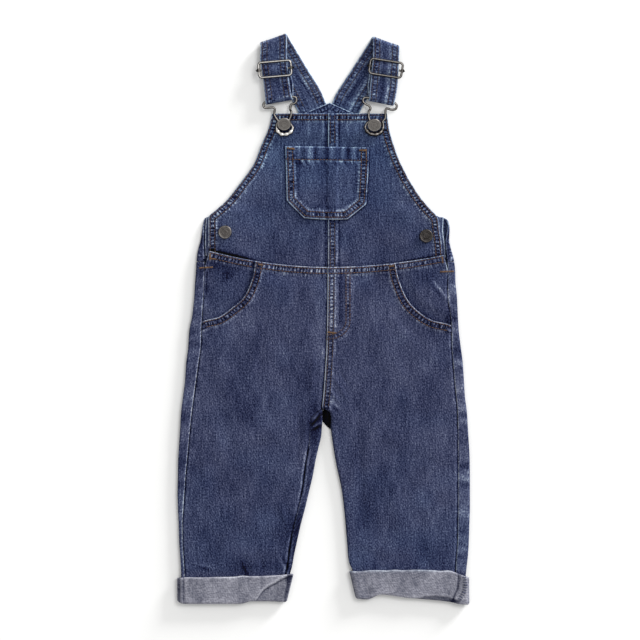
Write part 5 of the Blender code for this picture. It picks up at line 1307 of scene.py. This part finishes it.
def cut_cuff(half, form_of, edges, sides, seed):
    """A turned-up cuff: a flattened ring of doubled denim, wrong side out, folded at its lower edge."""
    shares, upper_ys, lower_ys = zip(*edges)
    upper, lower = through(shares, upper_ys), through(shares, lower_ys)
    left_top, right_top, left_low, right_low = sides
    radius = (CUFF_HIGH - CUFF_WALL) / 2
    full = radius + CUFF_WALL / 2
    t = np.concatenate([[0, 0.012], np.linspace(0.03, 0.97, 34), [0.985, 1]])[:, None]
    thick = 1.2 - 0.35 * ease(0.03, 0, t) - 0.85 * ease(0.94, 1, t) ** 1.5
    over, below, at_side = 120, 24, 12
    a = np.linspace(0, math.pi, at_side + 2)[1:-1]
    across = np.concatenate([np.zeros(over), np.sin(a), np.zeros(below), -np.sin(a)])
    up = np.concatenate([np.ones(over), np.cos(a), -np.ones(below), -np.cos(a)])
    side = np.concatenate([np.linspace(-1, 1, over), np.ones(at_side),
                           np.linspace(1, -1, below), -np.ones(at_side)])
    left, right = left_top + (left_low - left_top) * t, right_top + (right_low - right_top) * t
    x = (left + right) / 2 + side * ((right - left) / 2 - full) + across * radius
    z = CUFF_HIGH / 2 + up * radius
    share = np.clip((x - left) / (right - left), 0, 1)
    y = upper(share) + (lower(share) - upper(share)) * t + 0.5 * wander(x / 9, seed + 6) * (1 - t)
    top_side = ease(0.4, 0.9, up) * np.ones_like(x)
    form = form_of(x, y)
    rough = 0.14 * mottle(x, y, 8, seed) + 0.1 * mottle(x, y, 3.6, seed + 1)
    z = z + (form[0] + rough) * top_side
    lip = 0.25 * hill(t, 0, 0.05) * (1 + 0.8 * wander(x / 4, seed + 7)) + 0.10 * hill(t, 0.97, 0.05)
    blotch = 0.16 * mottle(x, y, 16, seed + 2) + 0.12 * mottle(x, y, 5, seed + 3)
    # the ring's sides and underside are drawn darker: painted shade
    fade_and_shade = lip + blotch + form[1] * top_side - 0.2 * (1 - top_side)
    faces = both_faces(x, y, z, across, up, thick, thick)
    weave = np.stack([run_across(x, z), y], -1)
    piece = shell(f"turn_up_{half}", *faces, weave, fade_and_shade, wrong_side, ring=True)
    dress(f"cuff_{half}")


def cuff_left_form(x, y):
    """The left cuff's loose fold, which slants down to a lower, darker corner in painted shade, and its seam
    at the left.
    """
    fold = through((-67.4, -64.7, -60.2, -48.2, -37, -30),
                   (-281.5, -277.5, -271.4, -263.6, -257.6, -255))
    past = 0.8 * (fold(x) - y)
    there = ease(-68.4, -66.6, x)
    under = ease(-0.4, 1, past) * there
    ridge = hill(past, -1.4, 1.3) * there
    seam = hill(x, -143.6, 0.8) + 0.8 * hill(x, -139.4, 0.8)
    height = -1.0 * under + 0.35 * ridge - 0.25 * seam
    # the right side of the cloth shows in a sliver where the ring turns over
    sliver = through((-283, -276, -265, -255, -253), (-39.6, -38.8, -36.8, -36, -35.8))
    turned = ease(-0.5, 0.7, x - sliver(y))
    # the dark line just past the fold is a painted shadow under its edge
    fade_and_shade = -0.2 * under + 0.28 * ridge - 0.5 * hill(past, 0.8, 0.8) * there - 0.7 * seam - 0.75 * turned
    return height, fade_and_shade - 0.2 * ease(-138.5, -142, x)


def cuff_right_form(x, y):
    """The right cuff's seam with its allowance, and the inner layer below its lower edge in painted shade,
    darkest in the open mouth at its right.
    """
    slant = x - through((-285, -276.8, -267, -253), (128.4, 130.8, 134.6, 135.3))(y)
    seam = hill(slant, 0, 0.8)
    allowance = ease(0.5, 2, slant)
    lip = through((40, 55.8, 69.3, 91.8, 106.8, 121.8, 133),
                  (-276.4, -276.8, -278.6, -278.7, -276.5, -277, -280.4))(x)
    under = ease(lip + 0.2, lip - 1, y) * ease(52, 70, x) * ease(136, 131, x)
    fold = hill(x, 45, 4) * ease(-264, -276, y)
    height = -0.3 * seam + 0.35 * allowance - 0.9 * under - 0.7 * fold
    # mouth is painted shade in the cuff's open end
    mouth = hill(x, 131, 8) * hill(y, -282, 1.7)
    fade_and_shade = -0.85 * seam + 0.04 * allowance - 0.4 * under - 0.25 * fold - 0.7 * mouth
    fade_and_shade = fade_and_shade + 0.2 * hill(y, lip + 1.3, 1)
    return height, fade_and_shade - 0.35 * hill(slant, 2.2, 0.6) * ease(-262, -258, y)


class Strap:
    """A strap's middle surface and its two worn faces, as grids along it (rows) and across it."""

    def __init__(self, back, front, rear):
        rows = list(back) + self.arc(back[-1], front[0], STRAP_FOLD, 1) + list(front)
        rows += self.arc(front[-1], rear[0], HOOK_FOLD, -1) + list(rear)
        ax, ay, bx, by, z = columns(rows)
        fine = np.linspace(0, len(rows) - 1, 4000)
        run = run_of(((ax(fine) + bx(fine)) / 2, (ay(fine) + by(fine)) / 2, z(fine)))
        self.long = run[-1]
        self.fold = float(np.interp(len(back) - 1, fine, run)) + math.pi * STRAP_FOLD / 2
        stops = np.linspace(0, self.long, int(self.long / FINE))
        stops = [0, EDGE_RING, *stops[1:-1], self.long - EDGE_RING, self.long]
        self.run = np.array(stops)[:, None]
        v = np.interp(self.run, run, fine)
        self.share = with_rim(26, STRAP_WIDE)[None, :]
        low = np.stack([ax(v), ay(v), z(v)], -1)
        high = np.stack([bx(v), by(v), z(v)], -1)
        self.middle = low + (high - low) * self.share[..., None]
        down = np.gradient(self.middle, axis=0)
        normal = np.cross(down, high - low)
        normal /= np.linalg.norm(normal, axis=-1, keepdims=True)
        ends = np.sign(normal[..., 2:3]) * np.array([0, 0, 1])
        normal[0], normal[-1] = ends[0], ends[-1]
        self.normal = normal

    @staticmethod
    def arc(first, last, radius, up, parts=9):
        """Rows that turn about the line between two rows, out to the side that up gives."""
        rows = []
        for k in range(1, parts):
            a = math.pi * k / parts
            mix = 0.5 - 0.5 * math.cos(a)
            ax, ay, bx, by = (p + (q - p) * mix for p, q in zip(first[:4], last[:4]))
            length = math.hypot(bx - ax, by - ay)
            nx, ny = -(by - ay) / length * up, (bx - ax) / length * up
            out = radius * math.sin(a)
            z = first[4] + (last[4] - first[4]) * mix
            rows.append((ax + nx * out, ay + ny * out, bx + nx * out, by + ny * out, z))
        return rows

    def form(self, seed):
        """Height and fade of the strap's face: twin rows near both edges, and plain doubled cloth between."""
        d = np.minimum(self.share, 1 - self.share) * STRAP_WIDE
        side = np.where(self.share < 0.5, 0, 7)
        s = self.run + 0 * d
        pucker = wander(s / 4.6 + side, seed + 1)
        between = ease(0.3, 1.6, d) * ease(9.5, 6.4, d)
        height = 0.12 * ease(7.6, 6.6, d) + 0.1 * pucker * between
        fade_and_shade = 1.1 * hill(d, 0, 0.85) * (0.9 + 0.3 * wander(s / 3.0 + side, seed + 2))
        streak = 0.3 * wander(self.share * 11.0 + 0 * s, seed + 3) * (1 + 0.6 * wander(s / 15, seed + 4))
        fade_and_shade = fade_and_shade + (0.2 * pucker + 0.06) * between + 0.2 * hill(d, 8.2, 1.2) + streak * ease(7, 9, d)
        # the part behind the shoulder is drawn a little paler: painted light that lifts the shade it lies in
        fade_and_shade = fade_and_shade + 0.04 * ease(self.fold - 2, self.fold - 8, s)
        first, last = STRAP_ROWS
        return height, fade_and_shade, (s + 500.0 * side, (d - first) / (last - first), 0.9 + 0 * d)

    def face(self, run, across, outer):
        """Points on a face, across from either edge in mm, and the way out of the cloth there."""
        share = across / STRAP_WIDE if across > 0 else 1 + across / STRAP_WIDE
        column = np.interp(share, self.share[0], range(self.share.shape[1]))
        j, f = int(column), column - int(column)
        face = self.outer if outer else self.inner
        line = face[:, j] * (1 - f) + face[:, j + 1] * f
        normal = self.normal[:, j] * (1 if outer else -1)
        return [at_run(run, self.run[:, 0], points) for points in (line, normal)]


def cut_strap(half, strap, seed):
    height, fade_and_shade, sewn = strap.form(seed)
    wear = 0.3 * hill(strap.run, strap.fold, 2.6) + 0.25 * hill(strap.run, strap.long - 34, 3)
    proud = (STRAP_THICK / 2 + height)[..., None]
    strap.outer = strap.middle + strap.normal * proud
    strap.inner = strap.middle - strap.normal * proud
    weave = np.stack(np.broadcast_arrays(strap.share * STRAP_WIDE, strap.run), -1)
    x, y = strap.middle[..., 0], strap.middle[..., 1]
    fade_and_shade = fade_and_shade + wear + wash_and_painted_light(x, y) - 0.02
    piece = shell(f"denim_strap_{half}", strap.outer, strap.inner, weave, fade_and_shade, denim, sewn)
    dress(f"strap_{half}")


LEFT_STRAP = Strap(LEFT_STRAP_BACK, LEFT_STRAP_FRONT, LEFT_STRAP_REAR)
RIGHT_STRAP = Strap(RIGHT_STRAP_BACK, RIGHT_STRAP_FRONT, RIGHT_STRAP_REAR)

cut_bib("left", BIB_LEFT, BIB_LEFT_SIDE, 13)
cut_bib("right", BIB_RIGHT, BIB_RIGHT_SIDE, 17)
cut_pocket()
cut_front_left()
cut_front_right()
cut_facing("left", -1, LEFT_MOUTH, (-113.6, 68), (-118.4, 51), left_seam, 71)
cut_facing("right", 1, RIGHT_MOUTH, (120.3, 63.7), (124.8, 48), right_seam, 75)
cut_placket("left", ((101.8, -117, -93), (90, -118, -93), (75, -118.2, -93), (63, -117.6, -93)))
cut_placket("right", ((101.8, 120.4, 92), (90, 119.9, 92), (75, 121.4, 92), (61, 122.4, 92)))
cut_back("left", -1, left_fold, left_seam, 0.28, 81)
cut_back("right", 1, right_fold, right_seam, 0.42, 85)
cut_back_bib()
cut_cuff("left", cuff_left_form, LEFT_CUFF, LEFT_CUFF_SIDES, 91)
cut_cuff("right", cuff_right_form, RIGHT_CUFF, RIGHT_CUFF_SIDES, 95)
cut_strap("left", LEFT_STRAP, 101)
cut_strap("right", RIGHT_STRAP, 105)


RUB_LEAST = -0.46      # how rubbed a wire's underside is
TOP_RUB_AND_HIGHLIGHT = 1.05        # and how much paler its top is drawn: rubbed, with a painted highlight


def tube(points, radii, closed, sides=12, ups=None):
    """Points and faces of a wire or thread through points, with how pale each of its own points is drawn:
    rubbed, with a painted highlight along the top.
    """
    p = np.array(points, float)
    n = len(p)
    ways = np.roll(p, -1, 0) - np.roll(p, 1, 0) if closed else np.gradient(p, axis=0)
    ways /= np.linalg.norm(ways, axis=1)[:, None]
    made, faces, rubbed = [], [], []
    for centre, way, radius, up in zip(p, ways, radii, ups if ups is not None else [(0, 0, 1)] * n):
        side = np.cross(way, up)
        side /= max(np.linalg.norm(side), 1e-9)
        rise = np.cross(side, way)
        for k in range(sides):
            a = 2 * math.pi * k / sides
            out = math.cos(a) * side + math.sin(a) * rise
            made.append(centre + radius * out)
            # the wire's upward face is drawn paler: rubbed metal with a painted highlight
            rubbed.append(TOP_RUB_AND_HIGHLIGHT * max(0, out[2]) ** 4 + RUB_LEAST)
    for i in range(n if closed else n - 1):
        j = (i + 1) % n
        for k in range(sides):
            m = (k + 1) % sides
            faces.append((i * sides + k, i * sides + m, j * sides + m, j * sides + k))
    if not closed:
        faces.append(tuple(range(sides - 1, -1, -1)))
        faces.append(tuple(range((n - 1) * sides, n * sides)))
    return made, faces, rubbed


class Needle:
    """Sews rows of stitches as one joined mesh, each a short thread whose ends sink into the cloth."""

    def __init__(self, on=()):
        self.points, self.faces = [], []
        points, faces = [], []
        for name in on:
            top, upper = uppers[name][:2]
            faces += (upper + len(points)).tolist()
            points += top.reshape(-1, 3).tolist()
        self.cloth = BVHTree.FromPolygons(points, faces) if faces else None

    def thread(self, centres, radius, ups=None):
        """One stitch through four points."""
        made, faces = tube(centres, (radius / 2, radius, radius, radius / 2), False, 5, ups)[:2]
        self.faces += [tuple(k + len(self.points) for k in face) for face in faces]
        self.points += made

    def lay(self, xs, ys, lifts, radius):
        """One stitch over four places on the cloth, unless one of them has no cloth below it."""
        hits = [self.cloth.ray_cast(Vector((x, y, OVER_ALL)), Vector((0, 0, -1)))[0] for x, y in zip(xs, ys)]
        if None not in hits:
            self.thread([(x, y, hit.z + lift) for x, y, hit, lift in zip(xs, ys, hits, lifts)], radius)

    def row(self, line, inset_by=0):
        """A row of stitches along a line on the cloth, set in from it to its left."""
        points = np.array(inset(line, inset_by) if inset_by else line)
        run = run_of(points.T)
        count = int(run[-1] / STITCH)
        for k in range(count):
            stops = (k + 0.11) * run[-1] / count + np.array([0, 0.2, 0.8, 1]) * 0.8 * STITCH
            xs, ys = np.interp(stops, run, points[:, 0]), np.interp(stops, run, points[:, 1])
            self.lay(xs, ys, (-0.12, THREAD / 2, THREAD / 2, -0.12), THREAD)

    def strap_row(self, strap, start, end, across, outer):
        """A row of stitches along a strap's face."""
        for k in range(int((end - start) / STITCH)):
            stops = start + (k + np.array([0.1, 0.26, 0.72, 0.88])) * STITCH
            point, way = strap.face(stops, across, outer)
            self.thread(point + way * np.array([-0.12, 0.13, 0.13, -0.12])[:, None], THREAD, way)

    def tack(self, ax, ay, bx, by, wide, radius=0.3, pitch=0.62):
        """A bar tack: satin stitches side by side across the line between two points."""
        length = math.hypot(bx - ax, by - ay)
        dx, dy = (bx - ax) / length, (by - ay) / length
        count = int(length / pitch)
        share = np.array([-0.5, -0.3, 0.3, 0.5])
        for k in range(count + 1):
            mx, my = ax + dx * length * k / count, ay + dy * length * k / count
            slant = 0.6 * (-1) ** k
            self.lay(mx + share * (dx * slant - dy * wide), my + share * (dx * wide + dy * slant),
                     (-0.1, 0.38, 0.38, -0.1), radius)

    def finish(self, name, thread):
        make_piece(name, self.points, self.faces, thread)


def flip(line):
    return list(reversed(line))


def part_of(line, low, high):
    """The points of a line whose y lies between two heights."""
    return [p for p in line if low <= p[1] <= high]


def sew_bib():
    needle = Needle(("denim_bib_left", "denim_bib_right", "denim_bib_pocket"))
    for d in TWIN:
        needle.row(flip([(-49.6, 205.5), (4.4, 205.5)]), d)
        needle.row(flip([(13.4, 205.5), (62.2, 205.5)]), d)
        needle.row(part_of(BIB_LEFT_SIDE, 58, 203.6), d)
        needle.row(flip(part_of(BIB_RIGHT_SIDE, 54, 203.6)), d)
    for d in POCKET_ROWS:
        needle.row(part_of(POCKET_SIDES, 0, 171.9), d)
    needle.row([(-37.8, 172.8 - POCKET_HEM), (45.3, 171.6 - POCKET_HEM)])
    needle.finish("topstitching_bib", rust_thread)
    needle = Needle(("denim_bib_right",))
    for d in FELL_ROWS:
        line = edge(BIB_RIGHT, False)
        needle.row(flip(part_of(line, 172.6, 204.8)), -d)
        needle.row(flip(part_of(line, 46, 97)), -d)
    needle.finish("topstitching_centre_front", brown_thread)


def sew_trousers():
    needle = Needle(("denim_front_left", "denim_front_right"))
    for d in WAIST_ROWS:
        needle.row(flip(waist_line(-66, 4)), d)
        needle.row(flip(waist_line(5.2, 71)), d)
    for d in (1.3, 6.7):
        needle.row(MOUTH_LEFT, d)
        needle.row(flip(MOUTH_RIGHT), d)
    for across, down in (FLY_OUTER, FLY_INNER):
        needle.row(fly_line(across, down))
    needle.finish("topstitching_trousers", rust_thread)
    needle = Needle(("denim_front_right",))
    for d in CENTRE_ROWS:
        needle.row(flip(part_of(CENTRE_SEAM, -88, 44)), -d)
    needle.finish("topstitching_centre_seam", brown_thread)
    needle = Needle(("denim_pocket_facing_left", "denim_pocket_facing_right", "denim_front_left",
                     "denim_front_right"))
    for d in WAIST_ROWS:
        needle.row(flip(waist_line(-112, -70)), d)
        needle.row(flip(waist_line(75, 119)), d)
    needle.finish("topstitching_pocket_facings", rust_thread)


def sew_straps():
    needle = Needle()
    first, last = STRAP_ROWS
    for strap in (LEFT_STRAP, RIGHT_STRAP):
        for across in (first, last, -first, -last):
            needle.strap_row(strap, 12, strap.fold, across, False)
            needle.strap_row(strap, strap.fold - 3, strap.long - 32, across, True)
    needle.finish("topstitching_straps", brown_thread)


def sew_back():
    needle = Needle(("denim_back_bodice",))
    faces, inner = uppers["denim_back_bodice"][1:]
    needle.cloth = BVHTree.FromPolygons(inner.reshape(-1, 3).tolist(), faces.tolist())
    for d in PEAK_ROWS:
        needle.row([(-19.2, 205.6), PEAK, (31.8, 205.2)], -d)
    needle.finish("topstitching_back_peak", rust_thread)


def sew_tacks():
    needle = Needle(tuple(uppers))
    for ax, ay, bx, by, wide in (
            (-36, 170.8, -29, 170.2, 2.2), (36.6, 168.8, 43.2, 168.4, 2.2),
            (42.9, 167.6, 43, 162, 0.9), (-123.6, 51, -110.6, 51.8, 1.7),
            (117, 47.2, 130.4, 47.6, 1.7), (4.6, -13.2, 12, -14.2, 2),
            (-113, 65.6, -113.4, 59, 1.7), (118.8, 62, 119.6, 56, 1.7),
            (-64.6, 54.6, -60.2, 53.8, 1.6), (66, 52.4, 70.2, 53, 1.6)):
        needle.tack(ax, ay, bx, by, wide)
    needle.tack(-113, 60.4, -107.6, 59.8, 1.5)
    needle.finish("bar_tacks", copper_thread)


def sew_overlock():
    """The looped edge of the right cuff's seam allowance."""
    needle = Needle(("turn_up_right",))
    line = ((141, -257.8), (142.2, -265.5), (140.4, -273), (136.4, -279.6))
    for (ax, ay), (bx, by) in zip(line, line[1:]):
        needle.tack(ax, ay, bx, by, 4.6, 0.42, 2.3)
    needle.finish("overlocking_right_cuff", indigo_thread)


sew_bib()
sew_trousers()
sew_straps()
sew_back()
sew_tacks()
sew_overlock()


# How much thicker than its solid each wire is drawn, as the photograph shows it
SLIDER_MORE = 0.38
BAR_MORE = 0.2
HOOK_MORE = 0.34
BAR_RING = 0.62        # radius of the rings that tie the bar to its frame
HOOK_STEP = 0.7        # space between neighbouring rings of points on the hook
HOOK_SIDES = 14
SCALLOP = 5.0          # length of one scallop on the hammered end
BUTTON_SIDES = 48
BUTTON_RISE = 3.6      # how high a bib button's head stands over the bib, with the hook's wire between
BIB_POST = 2.2         # length of its post
SIDE_POST = 0.9        # and of a side button's


def smooth_line(points, gap, closed):
    """More points along a wire, on a smooth curve through those given."""
    p = np.array(points, float)
    if closed:
        p = np.vstack([p[-3:], p, p[:4]])
    curves = [through(range(len(p)), p[:, k]) for k in range(3)]
    first, last = (3, len(p) - 4) if closed else (0, len(p) - 1)
    fine = np.linspace(first, last, 2000)
    at = np.stack([c(fine) for c in curves], -1)
    run = run_of(at.T)
    count = int(run[-1] / gap)
    stops = np.linspace(0, run[-1], count + 1)[:-1 if closed else None]
    return at_run(stops, run, at)


def placed(points, spot, turn):
    a = math.radians(turn)
    across, up = math.cos(a), math.sin(a)
    return [(spot[0] + x * across - y * up, spot[1] + x * up + y * across, z) for x, y, z in points]


def metal_piece(name, parts, node):
    points, faces, rubbed = [], [], []
    for made, made_faces, made_rubbed in parts:
        faces += [tuple(k + len(points) for k in face) for face in made_faces]
        points += made
        rubbed += made_rubbed
    piece = make_piece(name, points, faces, nickel, rubbed=rubbed)
    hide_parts(node)


def make_slider(side, spot, shine):
    long, wide = SLIDER_LONG / 2 - SLIDER_WIRE, SLIDER_WIDE / 2 - SLIDER_WIRE
    corners = []
    for sx, sy, start in ((1, 1, 0), (-1, 1, 90), (-1, -1, 180), (1, -1, 270)):
        for k in range(7):
            a = math.radians(start + 15 * k)
            corners.append((sx * (long - SLIDER_CORNER) + SLIDER_CORNER * math.cos(a),
                            sy * (wide - SLIDER_CORNER) + SLIDER_CORNER * math.sin(a), SLIDER_HIGH))
    line = placed(smooth_line(corners, 0.9, True), spot, spot[2])
    made, faces, rubbed = tube(line, [SLIDER_WIRE + SLIDER_MORE] * len(line), True)
    frame_wire = (made, faces, [share + shine for share in rubbed])
    metal_piece(f"slider_frame_{side}", [frame_wire], f"slider_{side}")
    end = long + 2.0
    half = [(end - 3.4, 0, SLIDER_BAR_HIGH), (end - 1.1, 0, SLIDER_BAR_HIGH + 0.3),
            (end, 0, SLIDER_HIGH - 1.4), (end, 0, SLIDER_HIGH + 0.3)]
    bar = [(-x, y, z) for x, y, z in reversed(half)] + half
    line = placed(smooth_line(bar, 0.7, False), spot, spot[2])
    parts = [tube(line, [WIRE + BAR_MORE] * len(line), False)]
    for way in (-1, 1):
        loop = []
        for k in range(15):
            a = math.radians(-100 + 200 * k / 14)
            loop.append((way * (long - 0.1 + 1.45 * math.cos(a)), 0, SLIDER_HIGH + 1.35 * math.sin(a)))
        for shift in (-1.1, 0, 1.1):
            ring = placed([(x, y + shift, z) for x, y, z in loop], spot, spot[2])
            parts.append(tube(ring, [BAR_RING] * len(ring), False, 8))
    metal_piece(f"slider_bar_wire_{side}", parts, f"slider_bar_{side}")


def make_hook(side, table, shine):
    points = []
    for x, y, z in table:
        if z == 0:
            z = float(bib_low(x, min(y, 205))) + WALL + HEM_RISE + GAP + WIRE
        points.append((x, y, z))
    line = smooth_line(points, HOOK_STEP, True)
    low = ease(193, 188, line[:, 1])
    # the flattened end is hammered to a scalloped outline
    scallop = 0.5 * np.sin(2 * math.pi * np.arange(len(line)) * HOOK_STEP / SCALLOP)
    radii = WIRE + HOOK_MORE + (0.7 + scallop) * low
    line[:, 2] += 0.6 * low
    made, faces, rubbed = tube(line, radii, True, HOOK_SIDES)
    for k, point in enumerate(made):
        ring = k // HOOK_SIDES
        point[2] -= 0.45 * low[ring] * (point[2] - line[ring, 2])
    # and so its worn face, with its painted highlight, is broader than a round wire's
    worn_and_painted_light = [share + bright * (shine + 0.4 * ((share - RUB_LEAST) / TOP_RUB_AND_HIGHLIGHT) ** 0.3)
            for share, bright in zip(rubbed, np.repeat(low, HOOK_SIDES).tolist())]
    metal_piece(f"hook_wire_{side}", [(made, faces, worn_and_painted_light)], f"hook_{side}")


def make_button(name, node, spot, width, tilt, high, wear):
    """A tack button: a flat head with a rolled rim and two faint plain rings, on a short post."""
    r = width / 2
    post = 2.4
    # distance from the middle, height, how rubbed
    keys = ((0, 1.62, 0.3), (0.2 * r, 1.62, 0.3), (0.3 * r, 1.6, 0.28), (0.34 * r, 1.68, 0.46),
            (0.38 * r, 1.6, 0.24), (0.6 * r, 1.56, 0.28), (0.64 * r, 1.62, 0.4), (0.68 * r, 1.55, 0.24),
            (0.76 * r, 1.6, 0.3), (0.82 * r, 1.76, 0.4), (0.88 * r, 1.78, 0.42), (r - 0.5, 1.72, 0.34),
            (r - 0.2, 1.5, 0.3), (r, 1.1, 0.05), (r - 0.12, 0.75, -0.1), (r - 0.4, 0.45, -0.1),
            (r - 1.2, 0.2, 0), (post + 0.2, 0, 0), (post, -high + 0.3, 0), (post - 0.3, -high, 0),
            (0, -high, 0))
    sides = BUTTON_SIDES
    points, faces, rubbed = [(0, 0, keys[0][1])], [], [keys[0][2] + wear]
    for x, z, bright in keys[1:-1]:
        for k in range(sides):
            a = 2 * math.pi * k / sides
            points.append((x * math.cos(a), x * math.sin(a), z))
            rubbed.append(bright + wear)
    points.append((0, 0, keys[-1][1]))
    rubbed.append(0)
    rings = len(keys) - 2
    for k in range(sides):
        m = (k + 1) % sides
        faces.append((0, 1 + k, 1 + m))
        for ring in range(rings - 1):
            at = 1 + ring * sides
            faces.append((at + k, at + sides + k, at + sides + m, at + m))
        at = 1 + (rings - 1) * sides
        faces.append((at + k, len(points) - 1, at + m))
    a = math.radians(tilt)
    turned = [np.array((spot[0] + x, spot[1] + y * math.cos(a) - z * math.sin(a),
                        spot[2] + y * math.sin(a) + z * math.cos(a))) for x, y, z in points]
    metal_piece(name, [(turned, faces, rubbed)], node)


def on_bib(x, y):
    return float(bib_low(x, y)) + WALL + GAP


make_slider("left", LEFT_SLIDER, 0.2)
make_slider("right", RIGHT_SLIDER, -0.04)
make_hook("left", LEFT_HOOK, 0.24)
make_hook("right", RIGHT_HOOK, -0.5)
for side, (x, y) in (("left", LEFT_BIB_BUTTON), ("right", RIGHT_BIB_BUTTON)):
    spot = (x, y, on_bib(x, y) + BUTTON_RISE)
    make_button(f"tack_button_bib_{side}", f"bib_button_{side}", spot, BIB_BUTTON, BUTTON_TILT, BIB_POST,
                0.06)
for side, (x, y), wear in (("left", LEFT_SIDE_BUTTON, -0.1), ("right", RIGHT_SIDE_BUTTON, -0.3)):
    spot = (x, y, on_bib(x, y) + SIDE_POST)
    make_button(f"tack_button_side_{side}", f"side_button_{side}", spot, SIDE_BUTTON, 0, SIDE_POST, wear)
